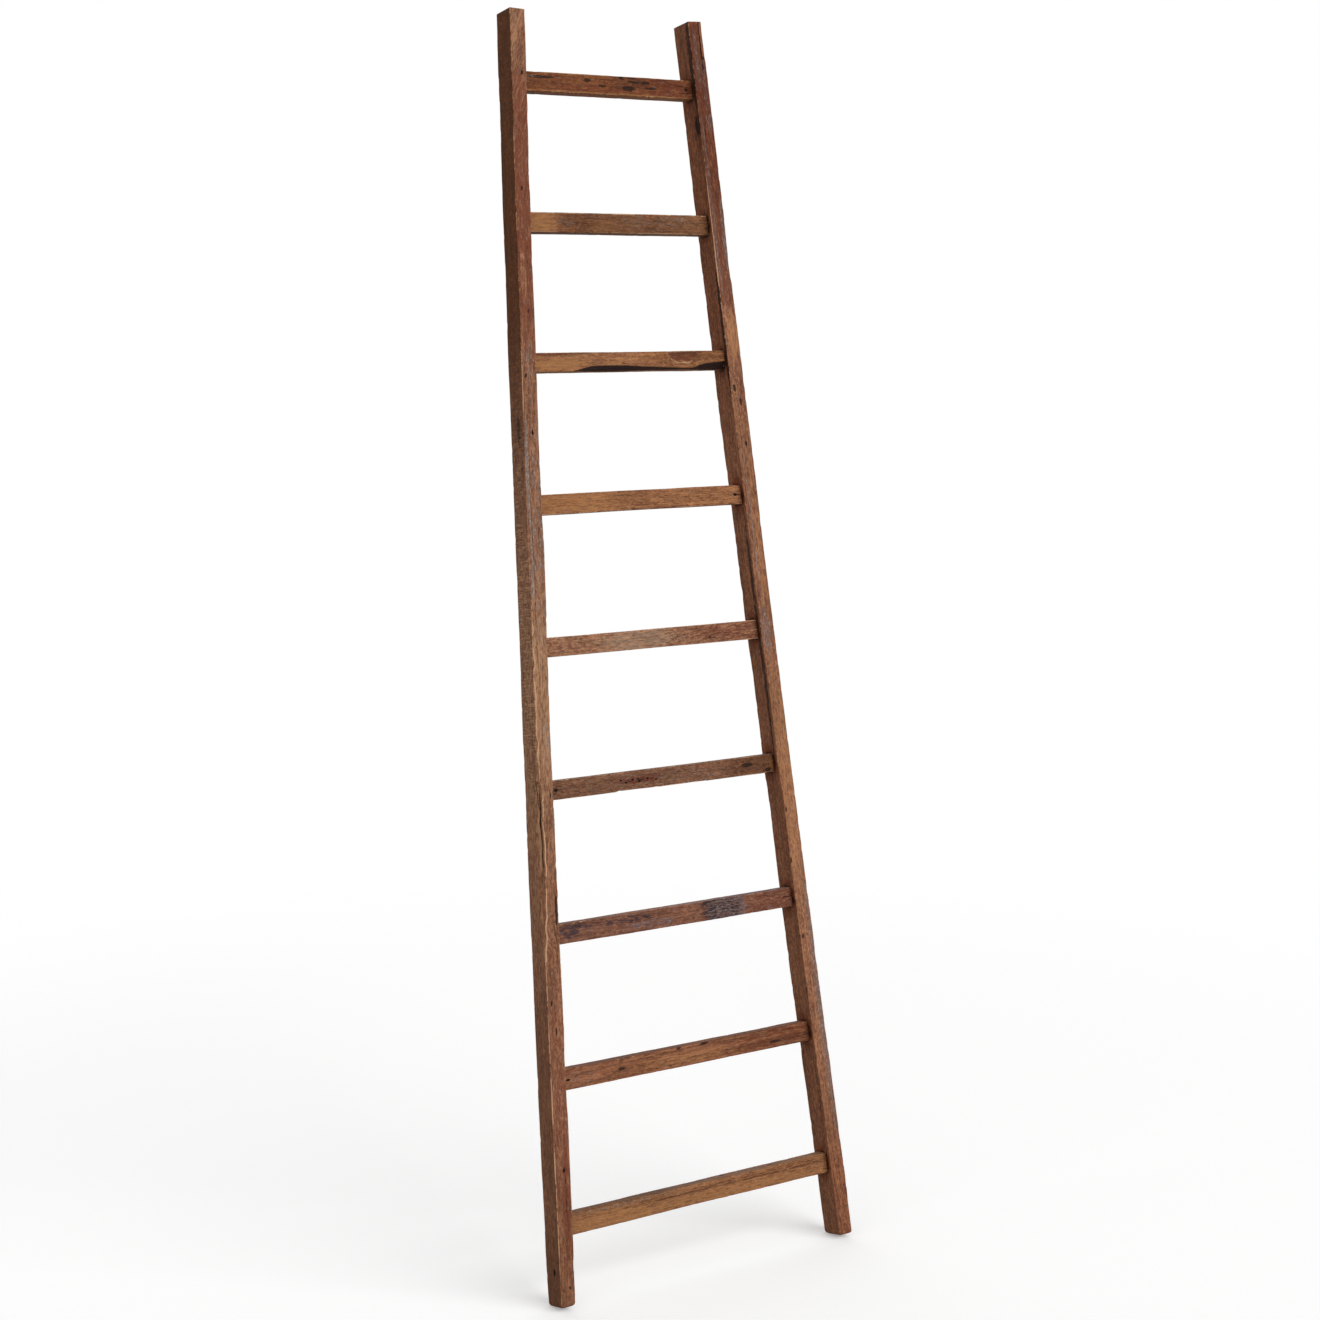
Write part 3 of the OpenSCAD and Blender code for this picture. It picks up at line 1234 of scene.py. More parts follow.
@dataclass
class Rung(Timber):
    """One rung, between shoulders that follow the stiles' splay, with a tenon at each end."""

    number: int = 1
    tenon_arris: float = 0.0008

    def place(self, a: Array, b: Array, s: Array) -> Array:
        """Puts points of the rung where they are in the room.

        Args:
            a: Places from the LOW face to the HIGH one.
            b: Depths behind the front.
            s: Places along the timber.

        Returns:
            The places in the room.
        """
        frame, k = self.frame, self.number
        z = frame.rung_z(k) - frame.rung_face_h(k) / 2 + a
        x = (2 * s / self.long - 1) * frame.inner_x(z)
        return frame.on_floor(x, frame.rung_front(k) + b, z)

    def rows(self) -> tuple:
        """Rings from shoulder to shoulder."""
        count = round(self.long / self.step)
        return np.linspace(0, self.long, count), np.zeros(count)

    def grid(self) -> Rings:
        """Adds the tenons' rings to those of the rung.

        Returns:
            The rings, with those of the tenons at both ends.
        """
        rings = super().grid()
        frame, one = self.frame, np.ones(1)
        tenon = self.section(
            0 * one, one * (self.wide - frame.tenon_h) / 2, one * (self.wide + frame.tenon_h) / 2,
            one * (self.deep - frame.tenon_t) / 2, one * (self.deep + frame.tenon_t) / 2,
            [one * self.tenon_arris] * 4,
        )
        a, b, near = tenon.a, tenon.b, tenon.s
        reach = float(frame.inner_x(frame.rung_z(self.number))) + frame.tenon_l
        roots = [self.place(a, b, near), self.place(a, b, near + self.long)]
        ends = [root.copy() for root in roots]
        ends[0][..., 0], ends[1][..., 0] = -reach, reach
        own = [np.stack([a, b, near + s], axis=-1)
               for s in (-frame.tenon_l, 0, self.long, self.long + frame.tenon_l)]
        points = np.concatenate([ends[0], roots[0], rings.points, roots[1], ends[1]])
        solid = np.concatenate([own[0], own[1], rings.solid, own[2], own[3]])
        bare = np.zeros((2, a.shape[1]))
        fields = {name: np.concatenate([bare, field, bare]) for name, field in rings.fields.items()}
        return Rings(points, solid, fields)

    def arris_field(self, spots: Spots) -> Array:
        """How near each point is to an arris, those at the shoulders among them."""
        shoulder = np.clip(1 - np.minimum(spots.s, self.long - spots.s) / SHOULDER_REACH, 0, 1)
        return np.maximum(super().arris_field(spots), SHOULDER_SHARE * shoulder)

    def cutters(self) -> list:
        """Gives the two nails' holes with the small ones.

        Returns:
            The one set of shapes.
        """
        holes = super().cutters()[0]
        for side in (-1, 1):
            self.add_nail_hole(holes, self.number, side)
        return [holes]


# A nail's profile in shares of length and radius, for its head and for its shank
NAIL_HEAD = ((0.0, 0.35), (0.06, 0.7), (0.3, 0.95), (0.6, 0.98), (0.95, 0.9))
NAIL_NECK = 1.1
NAIL_SHANK = ((0.25, 0.97), (0.6, 0.94), (0.86, 0.85), (0.97, 0.35), (0.998, 0.08))
NAIL_LUMP = 0.04
NAIL_SHARP_TURN = 50


@dataclass
class NailPair:
    """The two forged nails that pin one rung's tenons."""

    frame: LadderFrame
    name: str
    number: int
    sides: int = 14

    def build(self) -> bpy.types.Object:
        """Turns both nails, each with a domed head and a drawn-out point.

        Returns:
            The object.
        """
        frame = self.frame
        piece = Piece(self.name)
        head, shank, thick = frame.nail_head_d / 2, frame.nail_d / 2, frame.nail_head_t
        profile = [(at * thick, wide * head) for at, wide in NAIL_HEAD]
        profile.append((NAIL_NECK * thick, shank))
        profile += [(thick + at * frame.nail_l, wide * shank) for at, wide in NAIL_SHANK]
        for side in (-1, 1):
            start, direction = frame.nail_line(self.number, side)
            origin = frame.on_floor(*(start + direction * frame.nail_depth))
            aim = frame.on_floor(*(start + direction)) - frame.on_floor(*start)
            piece.lathe(origin, aim, profile, self.sides, lump=NAIL_LUMP, seed=self.number)
        thing = piece.make()
        thing.data.shade_smooth()
        thing.data.set_sharp_from_angle(angle=math.radians(NAIL_SHARP_TURN))
        return thing


# Shaders


def srgb(code: str) -> tuple:
    """Turns a colour such as #8a5c42 into the shader's red, green, blue and alpha."""
    levels = [int(code[i : i + 2], 16) / 255 for i in (1, 3, 5)]
    linear = [v / 12.92 if v <= 0.04045 else ((v + 0.055) / 1.055) ** 2.4 for v in levels]
    return (*linear, 1.0)


def tinted(color: tuple, factor: float) -> tuple:
    """Makes a constant colour darker or lighter by a factor, up to full brightness."""
    return (*(min(1.0, factor * level) for level in color[:3]), 1.0)


class Noise(Enum):
    """Kinds of noise: sizes in millimetres across a timber twice and along it, detail, roughness."""

    FIBRE = ((2.4, 2.4, 26.0), 3.0, 0.7)
    PORES = ((1.6, 1.6, 9.0), 1.0, 0.5)
    VEIN = ((13.0, 13.0, 130.0), 1.5, 0.45)
    STREAK = ((4.5, 4.5, 95.0), 4.0, 0.6)
    CLOUD = ((26.0, 26.0, 150.0), 3.0, 0.6)
    MOTTLE = ((6.0, 6.0, 12.0), 3.0, 0.65)
    FLECK = ((3.2, 3.2, 7.0), 2.0, 0.7)
    FRAY = ((3.5, 3.5, 16.0), 4.0, 0.7)
    WEAR_SPOTS = ((3.0, 3.0, 8.0), 3.0, 0.7)
    WEAR_REACH = ((30.0, 30.0, 80.0), 2.0, 0.5)
    SCRATCHES = ((30.0, 14.0, 2.8), 2.0, 0.7)
    SCRATCH_GROUPS = ((14.0, 14.0, 45.0), 3.0, 0.6)
    FLAKES = ((2.4, 2.4, 8.0), 4.0, 0.7)
    RUST = ((1.6, 1.6, 1.6), 4.0, 0.6)
    GRIT = ((0.3, 0.3, 0.3), 3.0, 0.6)


class Bench:
    """Adds nodes to one shader tree and joins them."""

    def __init__(self, tree: bpy.types.NodeTree) -> None:
        """Starts with the tree that the nodes go into."""
        self.tree = tree

    def put(self, socket: Socket, value: Value) -> None:
        """Links a socket to an input, or sets the input to a constant.

        Args:
            socket: The input.
            value: The socket or the constant.
        """
        if isinstance(value, Socket):
            self.tree.links.new(value, socket)
        else:
            socket.default_value = value

    def add(self, kind: str, settings: dict | None = None, **inputs: Value) -> bpy.types.Node:
        """Adds a node.

        Args:
            kind: The node's type.
            settings: Values of the node's own properties.
            **inputs: Values or sockets for its inputs, by name with _ for a space, or by
                number as in_0.

        Returns:
            The node.
        """
        node = self.tree.nodes.new(kind)
        for name, value in (settings or {}).items():
            setattr(node, name, value)
        for name, value in inputs.items():
            key = int(name[3:]) if name.startswith("in_") else name.replace("_", " ")
            self.put(node.inputs[key], value)
        return node

    def math(self, operation: str, *values: Value, clamp: bool = False) -> Socket:
        """Adds a Math node and gives its result."""
        settings = {"operation": operation, "use_clamp": clamp}
        inputs = {f"in_{i}": value for i, value in enumerate(values)}
        return self.add("ShaderNodeMath", settings, **inputs).outputs[0]

    def vector(self, operation: str, *values: Value) -> bpy.types.Node:
        """Adds a Vector Math node."""
        inputs = {f"in_{i}": value for i, value in enumerate(values)}
        return self.add("ShaderNodeVectorMath", {"operation": operation}, **inputs)

    def mix(self, share: Value, under: Value, over: Value, blend: str = "MIX") -> Socket:
        """Mixes two colours and gives the result."""
        settings = {"data_type": "RGBA", "blend_type": blend, "clamp_factor": True}
        node = self.add("ShaderNodeMix", settings, in_0=share, in_6=under, in_7=over)
        return node.outputs[2]

    def noise(self, kind: Noise, place: Value, seed: Value = 0.0) -> Socket:
        """Adds noise of one kind and gives its value.

        Args:
            kind: The kind of noise.
            place: The coordinates that it follows, in metres.
            seed: Picks one field of noise.

        Returns:
            The noise, from 0 to 1 and about one half.
        """
        sizes, detail, rough = kind.value
        scaled = self.vector("MULTIPLY", place, tuple(1 / (size * MM) for size in sizes)).outputs[0]
        node = self.add("ShaderNodeTexNoise", {"noise_dimensions": "4D"}, Vector=scaled, W=seed,
                        Scale=1.0, Detail=detail, Roughness=rough)
        return node.outputs[0]

    def scale(self, color: Value, amount: Value) -> Socket:
        """Makes a colour lighter or darker by a factor."""
        node = self.add("ShaderNodeVectorMath", {"operation": "SCALE"}, in_0=color, Scale=amount)
        return node.outputs[0]

    def ease(self, value: Value, low: Value, high: Value) -> Socket:
        """Eases a value from 0 at low to 1 at high."""
        settings = {"interpolation_type": "SMOOTHSTEP"}
        node = self.add("ShaderNodeMapRange", settings, Value=value, From_Min=low, From_Max=high)
        return node.outputs[0]

    def spread(self, value: Value, low: float, high: float) -> Socket:
        """Spreads the middle of a noise from low to high."""
        node = self.add("ShaderNodeMapRange", Value=value, From_Min=0.3, From_Max=0.7,
                        To_Min=low, To_Max=high)
        return node.outputs[0]

    def layered(self, color: Value, layers: Iterable) -> Value:
        """Lays tints over a colour.

        Args:
            color: The colour.
            layers: For each tint, its mask, its share and its colour, in order.

        Returns:
            The colour with all the tints.
        """
        for mask, share, tint in layers:
            color = self.mix(self.math("MULTIPLY", mask, share), color, tint)
        return color

    def field(self, name: str, vector: bool = False) -> Socket:
        """Reads a field of the mesh."""
        node = self.add("ShaderNodeAttribute", {"attribute_name": name})
        return node.outputs["Vector" if vector else "Fac"]


def bare_bench(owner: bpy.types.ID) -> Bench:
    """Empties the shader tree of a material or a world and gives a bench for it."""
    owner.use_nodes = True
    owner.node_tree.nodes.clear()
    return Bench(owner.node_tree)


class Effect:
    """A shader node group that several finishes share, of numbers and a few vectors."""

    VECTORS = ("Timber", "Heart")

    def __init__(self, name: str, wire: Callable[[Bench, dict], dict], inputs: Sequence,
                 outputs: Sequence = ("Mask",)) -> None:
        """Builds the group once.

        Args:
            name: The group's name.
            wire: Adds the nodes, from the bench and the inputs by name, and gives a
                socket for each output by name.
            inputs: Names of the input sockets.
            outputs: Names of the output sockets.
        """
        self.tree = bpy.data.node_groups.new(name, "ShaderNodeTree")
        for way, keys in (("INPUT", inputs), ("OUTPUT", outputs)):
            for key in keys:
                kind = "NodeSocketVector" if key in self.VECTORS else "NodeSocketFloat"
                self.tree.interface.new_socket(key, in_out=way, socket_type=kind)
        bench = Bench(self.tree)
        sockets = bench.add("NodeGroupInput").outputs
        made = wire(bench, {key: sockets[key] for key in inputs})
        ends = bench.add("NodeGroupOutput").inputs
        for key, socket in made.items():
            bench.put(ends[key], socket)

    def use(self, bench: Bench, **inputs: Value) -> dict:
        """Places the group in a material and gives its outputs by name."""
        node = bench.add("ShaderNodeGroup", {"node_tree": self.tree}, **inputs)
        return {socket.name: socket for socket in node.outputs}


GRAIN_MASKS = ("Ring", "Vein", "Fibre", "Pores", "Streak", "Cloud", "Mottle", "Fleck", "Height")


def wire_grain(bench: Bench, given: dict) -> dict:
    """Wires the growth rings, veins, fibres and pores of teak, as masks and a height.

    Args:
        bench: The group's bench.
        given: Its inputs by name.

    Returns:
        Its outputs by name.
    """
    timber, seed = given["Timber"], given["Seed"]
    kinds = (Noise.FIBRE, Noise.PORES, Noise.VEIN, Noise.STREAK, Noise.CLOUD, Noise.MOTTLE, Noise.FLECK)
    bend = bench.add("ShaderNodeTexNoise", {"noise_dimensions": "4D"}, W=seed, Scale=1.0, Detail=1.5,
                     Vector=bench.vector("MULTIPLY", timber, (28.0, 28.0, 3.2)).outputs[0])
    shift = bench.vector("SUBTRACT", bend.outputs[1], (0.5, 0.5, 0.5)).outputs[0]
    reach = bench.add("ShaderNodeCombineXYZ", X=given["Sway"], Y=given["Sway"], Z=0.0).outputs[0]
    bent = bench.vector("MULTIPLY_ADD", shift, reach, timber).outputs[0]
    flat = bench.vector("MULTIPLY", bench.vector("SUBTRACT", bent, given["Heart"]).outputs[0],
                        (1.0, 1.0, 0.0)).outputs[0]
    radius = bench.vector("LENGTH", flat).outputs["Value"]
    radius = bench.math("MULTIPLY_ADD", given["Knot"], 0.007, radius)
    phase = bench.math("FRACT", bench.math("DIVIDE", radius, given["Ring Width"]))
    late = bench.ease(phase, 0.45, 0.95)
    early = bench.ease(phase, 1.0, 0.97)
    ring = bench.math("MULTIPLY", late, early)
    fibre, pores, level, streak, cloud, mottle, fleck = (
        bench.noise(kind, timber, seed) for kind in kinds)
    pores = bench.ease(pores, 0.56, 0.66)
    level = bench.math("MULTIPLY_ADD", given["Knot"], 2.2, bench.math("MULTIPLY", level, 9.0))
    off = bench.math("ABSOLUTE", bench.math("SUBTRACT", bench.math("FRACT", level), 0.5))
    vein = bench.ease(off, 0.17, 0.02)
    height = bench.math("MULTIPLY_ADD", ring, 0.35, fibre)
    height = bench.math("MULTIPLY_ADD", fleck, 0.9, height)
    height = bench.math("SUBTRACT", height, bench.math("MULTIPLY", pores, 0.5))
    figure = (ring, vein, fibre, pores, streak, cloud, mottle, fleck, height)
    return dict(zip(GRAIN_MASKS, figure))


def wire_patch(bench: Bench, given: dict) -> dict:
    """Wires the ragged edge of a painted patch, which frays along the grain.

    Args:
        bench: The group's bench.
        given: Its inputs by name.

    Returns:
        Its outputs by name.
    """
    frayed = bench.noise(Noise.FRAY, given["Timber"], given["Seed"])
    loose = bench.math("MULTIPLY", bench.math("SUBTRACT", frayed, 0.5), given["Fray"])
    low, high = bench.math("SUBTRACT", 0.5, given["Edge"]), bench.math("ADD", 0.5, given["Edge"])
    return {"Mask": bench.ease(bench.math("ADD", given["Field"], loose), low, high)}


def wire_wear(bench: Bench, given: dict) -> dict:
    """Wires the arrises, rubbed pale in some places and left dark in others.

    Args:
        bench: The group's bench.
        given: Its inputs by name.

    Returns:
        Its outputs by name.
    """
    edge = bench.ease(given["Arris"], 0.30, 0.95)
    spots = bench.noise(Noise.WEAR_SPOTS, given["Timber"], given["Seed"])
    reach = bench.noise(Noise.WEAR_REACH, given["Timber"], given["Seed"])
    reach = bench.math("MULTIPLY_ADD", bench.ease(reach, 0.38, 0.62), 0.65, 0.35)
    amount = bench.math("MULTIPLY", edge, bench.math("MULTIPLY", reach, given["Amount"]))
    loose = bench.math("MULTIPLY", bench.math("SUBTRACT", spots, 0.5), 2.6)
    rubbed = bench.ease(bench.math("ADD", amount, loose), 0.45, 0.90)
    return {"Mask": bench.math("MULTIPLY", rubbed, edge, clamp=True)}


def wire_saw(bench: Bench, given: dict) -> dict:
    """Wires scratches across the grain, as a saw and hard use leave them, light and dark.

    Args:
        bench: The group's bench.
        given: Its inputs by name.

    Returns:
        Its outputs by name.
    """
    lines = bench.noise(Noise.SCRATCHES, given["Timber"], given["Seed"])
    groups = bench.noise(Noise.SCRATCH_GROUPS, given["Timber"], given["Seed"])
    amount = bench.math("MULTIPLY", bench.ease(groups, 0.36, 0.56), given["Amount"], clamp=True)
    return {"Light": bench.math("MULTIPLY", bench.ease(lines, 0.52, 0.60), amount),
            "Dark": bench.math("MULTIPLY", bench.ease(lines, 0.48, 0.38), amount)}


def wire_flakes(bench: Bench, given: dict) -> dict:
    """Wires the pale flakes of old finish and dust that cling to weathered wood.

    Args:
        bench: The group's bench.
        given: Its inputs by name.

    Returns:
        Its outputs by name.
    """
    flakes = bench.noise(Noise.FLAKES, given["Timber"], given["Seed"])
    flakes = bench.ease(flakes, 0.50, 0.62)
    return {"Mask": bench.math("MULTIPLY", flakes, given["Amount"], clamp=True)}


class Effects:
    """The node groups that the finishes share, each built once."""

    def __init__(self) -> None:
        """Builds every group."""
        grain_inputs = ("Timber", "Heart", "Ring Width", "Sway", "Knot", "Seed")
        self.grain = Effect("teak_grain", wire_grain, grain_inputs, GRAIN_MASKS)
        self.patch = Effect("frayed_patch", wire_patch, ("Timber", "Field", "Fray", "Edge", "Seed"))
        self.wear = Effect("arris_wear", wire_wear, ("Timber", "Arris", "Amount", "Seed"))
        self.saw = Effect("cross_scratches", wire_saw, ("Timber", "Amount", "Seed"), ("Light", "Dark"))
        self.flakes = Effect("weathered_flakes", wire_flakes, ("Timber", "Amount", "Seed"))


@dataclass(frozen=True)
class TeakFinish:
    """The colours and the figure of one timber."""

    name: str
    early: str
    late: str
    seed: float
    heart: tuple = (60.0, -45.0)
    ring_width: float = 3.4
    sway: float = 9.0
    ring_share: float = 0.30
    vein_share: float = 0.46
    pore_share: float = 0.46
    figure: float = 0.50
    red: str = "#683323"
    pale: str = "#a87549"
    grey: str = "#77675c"
    flake: str = "#a6968a"
    dark: str = "#261612"
    worn: str = "#d8ab85"
    # Near-black of bark and of painted shade on a bevel
    bark: str = "#271a1b"
    # Tint that SHADE marks multiply in: painted shade in some places, darker tone of the wood in others
    shade_and_tone_tint: str = "#a3875a"
    # Near-black of grime and painted shade in hollows, cracks and cut holes
    grime_and_shade: str = "#0e0806"
    wear: float = 1.0

    def build(self, effects: Effects) -> bpy.types.Material:
        """Wires the finish.

        Args:
            effects: The shared node groups.

        Returns:
            The material.
        """
        material = bpy.data.materials.new(self.name)
        bench = bare_bench(material)
        timber = bench.field("timber", vector=True)
        grain = effects.grain.use(
            bench, Timber=timber, Heart=(self.heart[0] * MM, self.heart[1] * MM, 0.0),
            Ring_Width=self.ring_width * MM, Sway=self.sway * MM, Knot=bench.field("knot"),
            Seed=self.seed)
        color, rough = self.weather(bench, effects, timber, grain, self.wood(bench, grain))
        height = bench.math("MULTIPLY_ADD", grain["Mottle"], 0.8, grain["Height"])
        bump = bench.add("ShaderNodeBump", Strength=0.7, Distance=0.0005, Height=height)
        shader = bench.add("ShaderNodeBsdfPrincipled", Base_Color=color, Roughness=rough,
                           Specular_IOR_Level=0.10, Normal=bump.outputs[0])
        bench.add("ShaderNodeOutputMaterial", Surface=shader.outputs[0])
        return material

    def wood(self, bench: Bench, grain: dict) -> Socket:
        """Colours the sound wood, from its rings, streaks and fibres.

        Args:
            bench: The material's bench.
            grain: The masks of the grain by name.

        Returns:
            The colour.
        """
        early, late = srgb(self.early), srgb(self.late)
        deep, light, vein = tinted(late, 0.38), tinted(early, 1.5), tinted(srgb(self.red), 0.45)
        color = bench.mix(bench.ease(grain["Streak"], 0.36, 0.64), early, late)
        rings = bench.math("MULTIPLY_ADD", bench.field("knot"), 0.35, self.ring_share)
        color = bench.layered(color, (
            (grain["Ring"], rings, deep),
            (grain["Vein"], self.vein_share, vein),
            (bench.ease(grain["Fibre"], 0.50, 0.68), 0.52, deep),
            (grain["Pores"], self.pore_share, deep),
            (bench.ease(grain["Mottle"], 0.50, 0.66), self.figure, light),
            (bench.ease(grain["Fleck"], 0.51, 0.64), self.figure, light),
            (bench.ease(grain["Fleck"], 0.46, 0.34), 0.8 * self.figure, deep),
        ))
        return bench.scale(color, bench.spread(grain["Cloud"], 0.74, 1.24))

    def weather(self, bench: Bench, effects: Effects, timber: Value, grain: dict,
                color: Value) -> tuple:
        """Lays stains, wear, scratches, grime and painted shade over the wood.

        Args:
            bench: The material's bench.
            effects: The shared node groups.
            timber: The timber's own coordinates.
            grain: The masks of the grain by name.
            color: The sound wood's colour.

        Returns:
            The colour and the roughness.
        """
        def patch(tint: Tint, fray: float, edge: float, offset: float) -> Socket:
            """Mask of one painted tint."""
            made = effects.patch.use(bench, Timber=timber, Field=bench.field(tint.value), Fray=fray,
                                     Edge=edge, Seed=self.seed + offset)
            return made["Mask"]

        def shaded(code: str, low: float, high: float) -> Socket:
            """A tint that the fibres lighten and darken."""
            return bench.scale(srgb(code)[:3], bench.spread(grain["Fibre"], high, low))

        grey = patch(Tint.GREY, 3.2, 0.35, 5.3)
        rubbed = bench.math("ADD", bench.field("worn"), self.wear)
        worn = effects.wear.use(bench, Timber=timber, Arris=bench.field("arris"), Amount=rubbed,
                                Seed=self.seed + 13)["Mask"]
        flakes = effects.flakes.use(bench, Timber=timber, Amount=grey, Seed=self.seed + 11)["Mask"]
        saw = effects.saw.use(bench, Timber=timber, Amount=bench.field("sawn"), Seed=self.seed + 17)
        color = bench.layered(color, (
            (patch(Tint.RED, 3.0, 0.40, 1.7), 0.85, shaded(self.red, 0.65, 1.35)),
            (patch(Tint.PALE, 3.0, 0.40, 3.1), 0.80, shaded(self.pale, 0.70, 1.30)),
            (grey, 0.55, shaded(self.grey, 0.65, 1.30)),
            # Bark, and painted shade, on a bevel
            (bench.field("bark"), 0.97, shaded(self.bark, 0.75, 1.35)),
            (patch(Tint.DARK, 2.6, 0.14, 7.9), 0.88, shaded(self.dark, 0.65, 1.5)),
            (flakes, 0.70, srgb(self.flake)),
            (worn, 0.80, srgb(self.worn)),
            (saw["Light"], 0.50, srgb(self.worn)),
            (saw["Dark"], 0.40, srgb(self.dark)),
        ))
        # Multiplies in the tint of the SHADE marks: painted shade round the rungs' ends and on rungs'
        # tops, darker tone of the wood elsewhere
        color = bench.mix(bench.field("shade"), color, srgb(self.shade_and_tone_tint), "MULTIPLY")
        # Grime and painted shade, near black, in hollows, cracks and cut holes
        grime_and_shade = bench.ease(bench.field("grime_and_shade"), 0.15, 0.75)
        color = bench.layered(color, ((grime_and_shade, 0.94, srgb(self.grime_and_shade)),))
        rough = bench.math("MULTIPLY_ADD", grain["Mottle"], 0.25, 0.58)
        rough = bench.math("MULTIPLY_ADD", grey, 0.12, rough)
        return color, bench.math("SUBTRACT", rough, bench.math("MULTIPLY", worn, 0.12), clamp=True)


@dataclass(frozen=True)
class IronFinish:
    """Old forged iron, rusted brown with some bare metal."""

    name: str = "rusted_iron"
    rust: str = "#4a2c1d"
    scale: str = "#2a221e"
    bare: str = "#5c5650"

    def build(self) -> bpy.types.Material:
        """Wires the finish.

        Returns:
            The material.
        """
        material = bpy.data.materials.new(self.name)
        bench = bare_bench(material)
        place = bench.add("ShaderNodeTexCoord").outputs["Object"]
        blotch, grit = bench.noise(Noise.RUST, place), bench.noise(Noise.GRIT, place)
        color = bench.mix(bench.ease(blotch, 0.4, 0.62), srgb(self.scale), srgb(self.rust))
        shiny = bench.ease(grit, 0.60, 0.72)
        color = bench.mix(bench.math("MULTIPLY", shiny, 0.6), color, srgb(self.bare))
        rough = bench.math("MULTIPLY_ADD", shiny, -0.3, 0.85)
        bump = bench.add("ShaderNodeBump", Strength=0.6, Distance=0.0002, Height=grit)
        shader = bench.add("ShaderNodeBsdfPrincipled", Base_Color=color, Roughness=rough,
                           Metallic=bench.math("MULTIPLY", shiny, 0.7), Normal=bump.outputs[0])
        bench.add("ShaderNodeOutputMaterial", Surface=shader.outputs[0])
        return material


# The finish of each timber

RUNG_FINISHES = (
    TeakFinish("teak_rung_1", "#8c5633", "#6e3f2a", 1.0, (40, -70), 3.0, wear=0.7),
    TeakFinish("teak_rung_2", "#916242", "#754b34", 2.0, (15, -60), 3.6, wear=1.2, red="#70492f",
               figure=0.4),
    TeakFinish("teak_rung_3", "#ab774f", "#8d5b40", 3.0, (17, 90), 3.2, pore_share=0.36, figure=0.4,
               red="#6a3c2b"),
    TeakFinish("teak_rung_4", "#ab764f", "#8e5c3f", 4.0, (-60, 25), 3.8, pore_share=0.36, figure=0.34),
    TeakFinish("teak_rung_5", "#a7785b", "#895c44", 5.0, (50, 40), 4.2, figure=0.58, pale="#b58f72"),
    TeakFinish("teak_rung_6", "#8a6048", "#6e4a37", 6.0, (10, -80), 2.8, pore_share=0.55),
    TeakFinish("teak_rung_7", "#91634d", "#744b3b", 7.0, (70, 20), 3.2, dark="#3a2e34",
               grey="#776b72", flake="#a79fa2", figure=0.4, wear=0.5),
    TeakFinish("teak_rung_8", "#a46e4e", "#87543b", 8.0, (12, 70), 2.3, ring_share=0.6, figure=0.25,
               wear=0.6),
    TeakFinish("teak_rung_9", "#a5744f", "#8b5c3d", 9.0, (-50, -30), 4.0, red="#57301f", figure=0.35,
               wear=0.3),
)
LEFT_FINISH = TeakFinish("teak_stile_left", "#a07052", "#7e5440", 11.0, (14, -75), 3.6, 34.0,
                         wear=0.9, figure=0.4, red="#763f2c", pale="#b88d69", grey="#85786f",
                         flake="#bab1ab")
RIGHT_FINISH = TeakFinish("teak_stile_right", "#a57354", "#865841", 12.0, (45, -60), 3.4, 16.0,
                          wear=0.5, red="#6b3a2b", pale="#b07c54", grey="#74605a", flake="#ab9b94",
                          shade_and_tone_tint="#b87a3c")


# Marks and wear, in millimetres: along from a rung's left shoulder or up from a stile's foot,
# then across from the rung's lower edge, the stile's outer one or the front


def marks(*groups: tuple) -> tuple:
    """Makes marks from groups, each of a tint, a face and the other values of every mark."""
    return tuple(Mark(tint, face, *rest) for tint, face, *places in groups for rest in places)


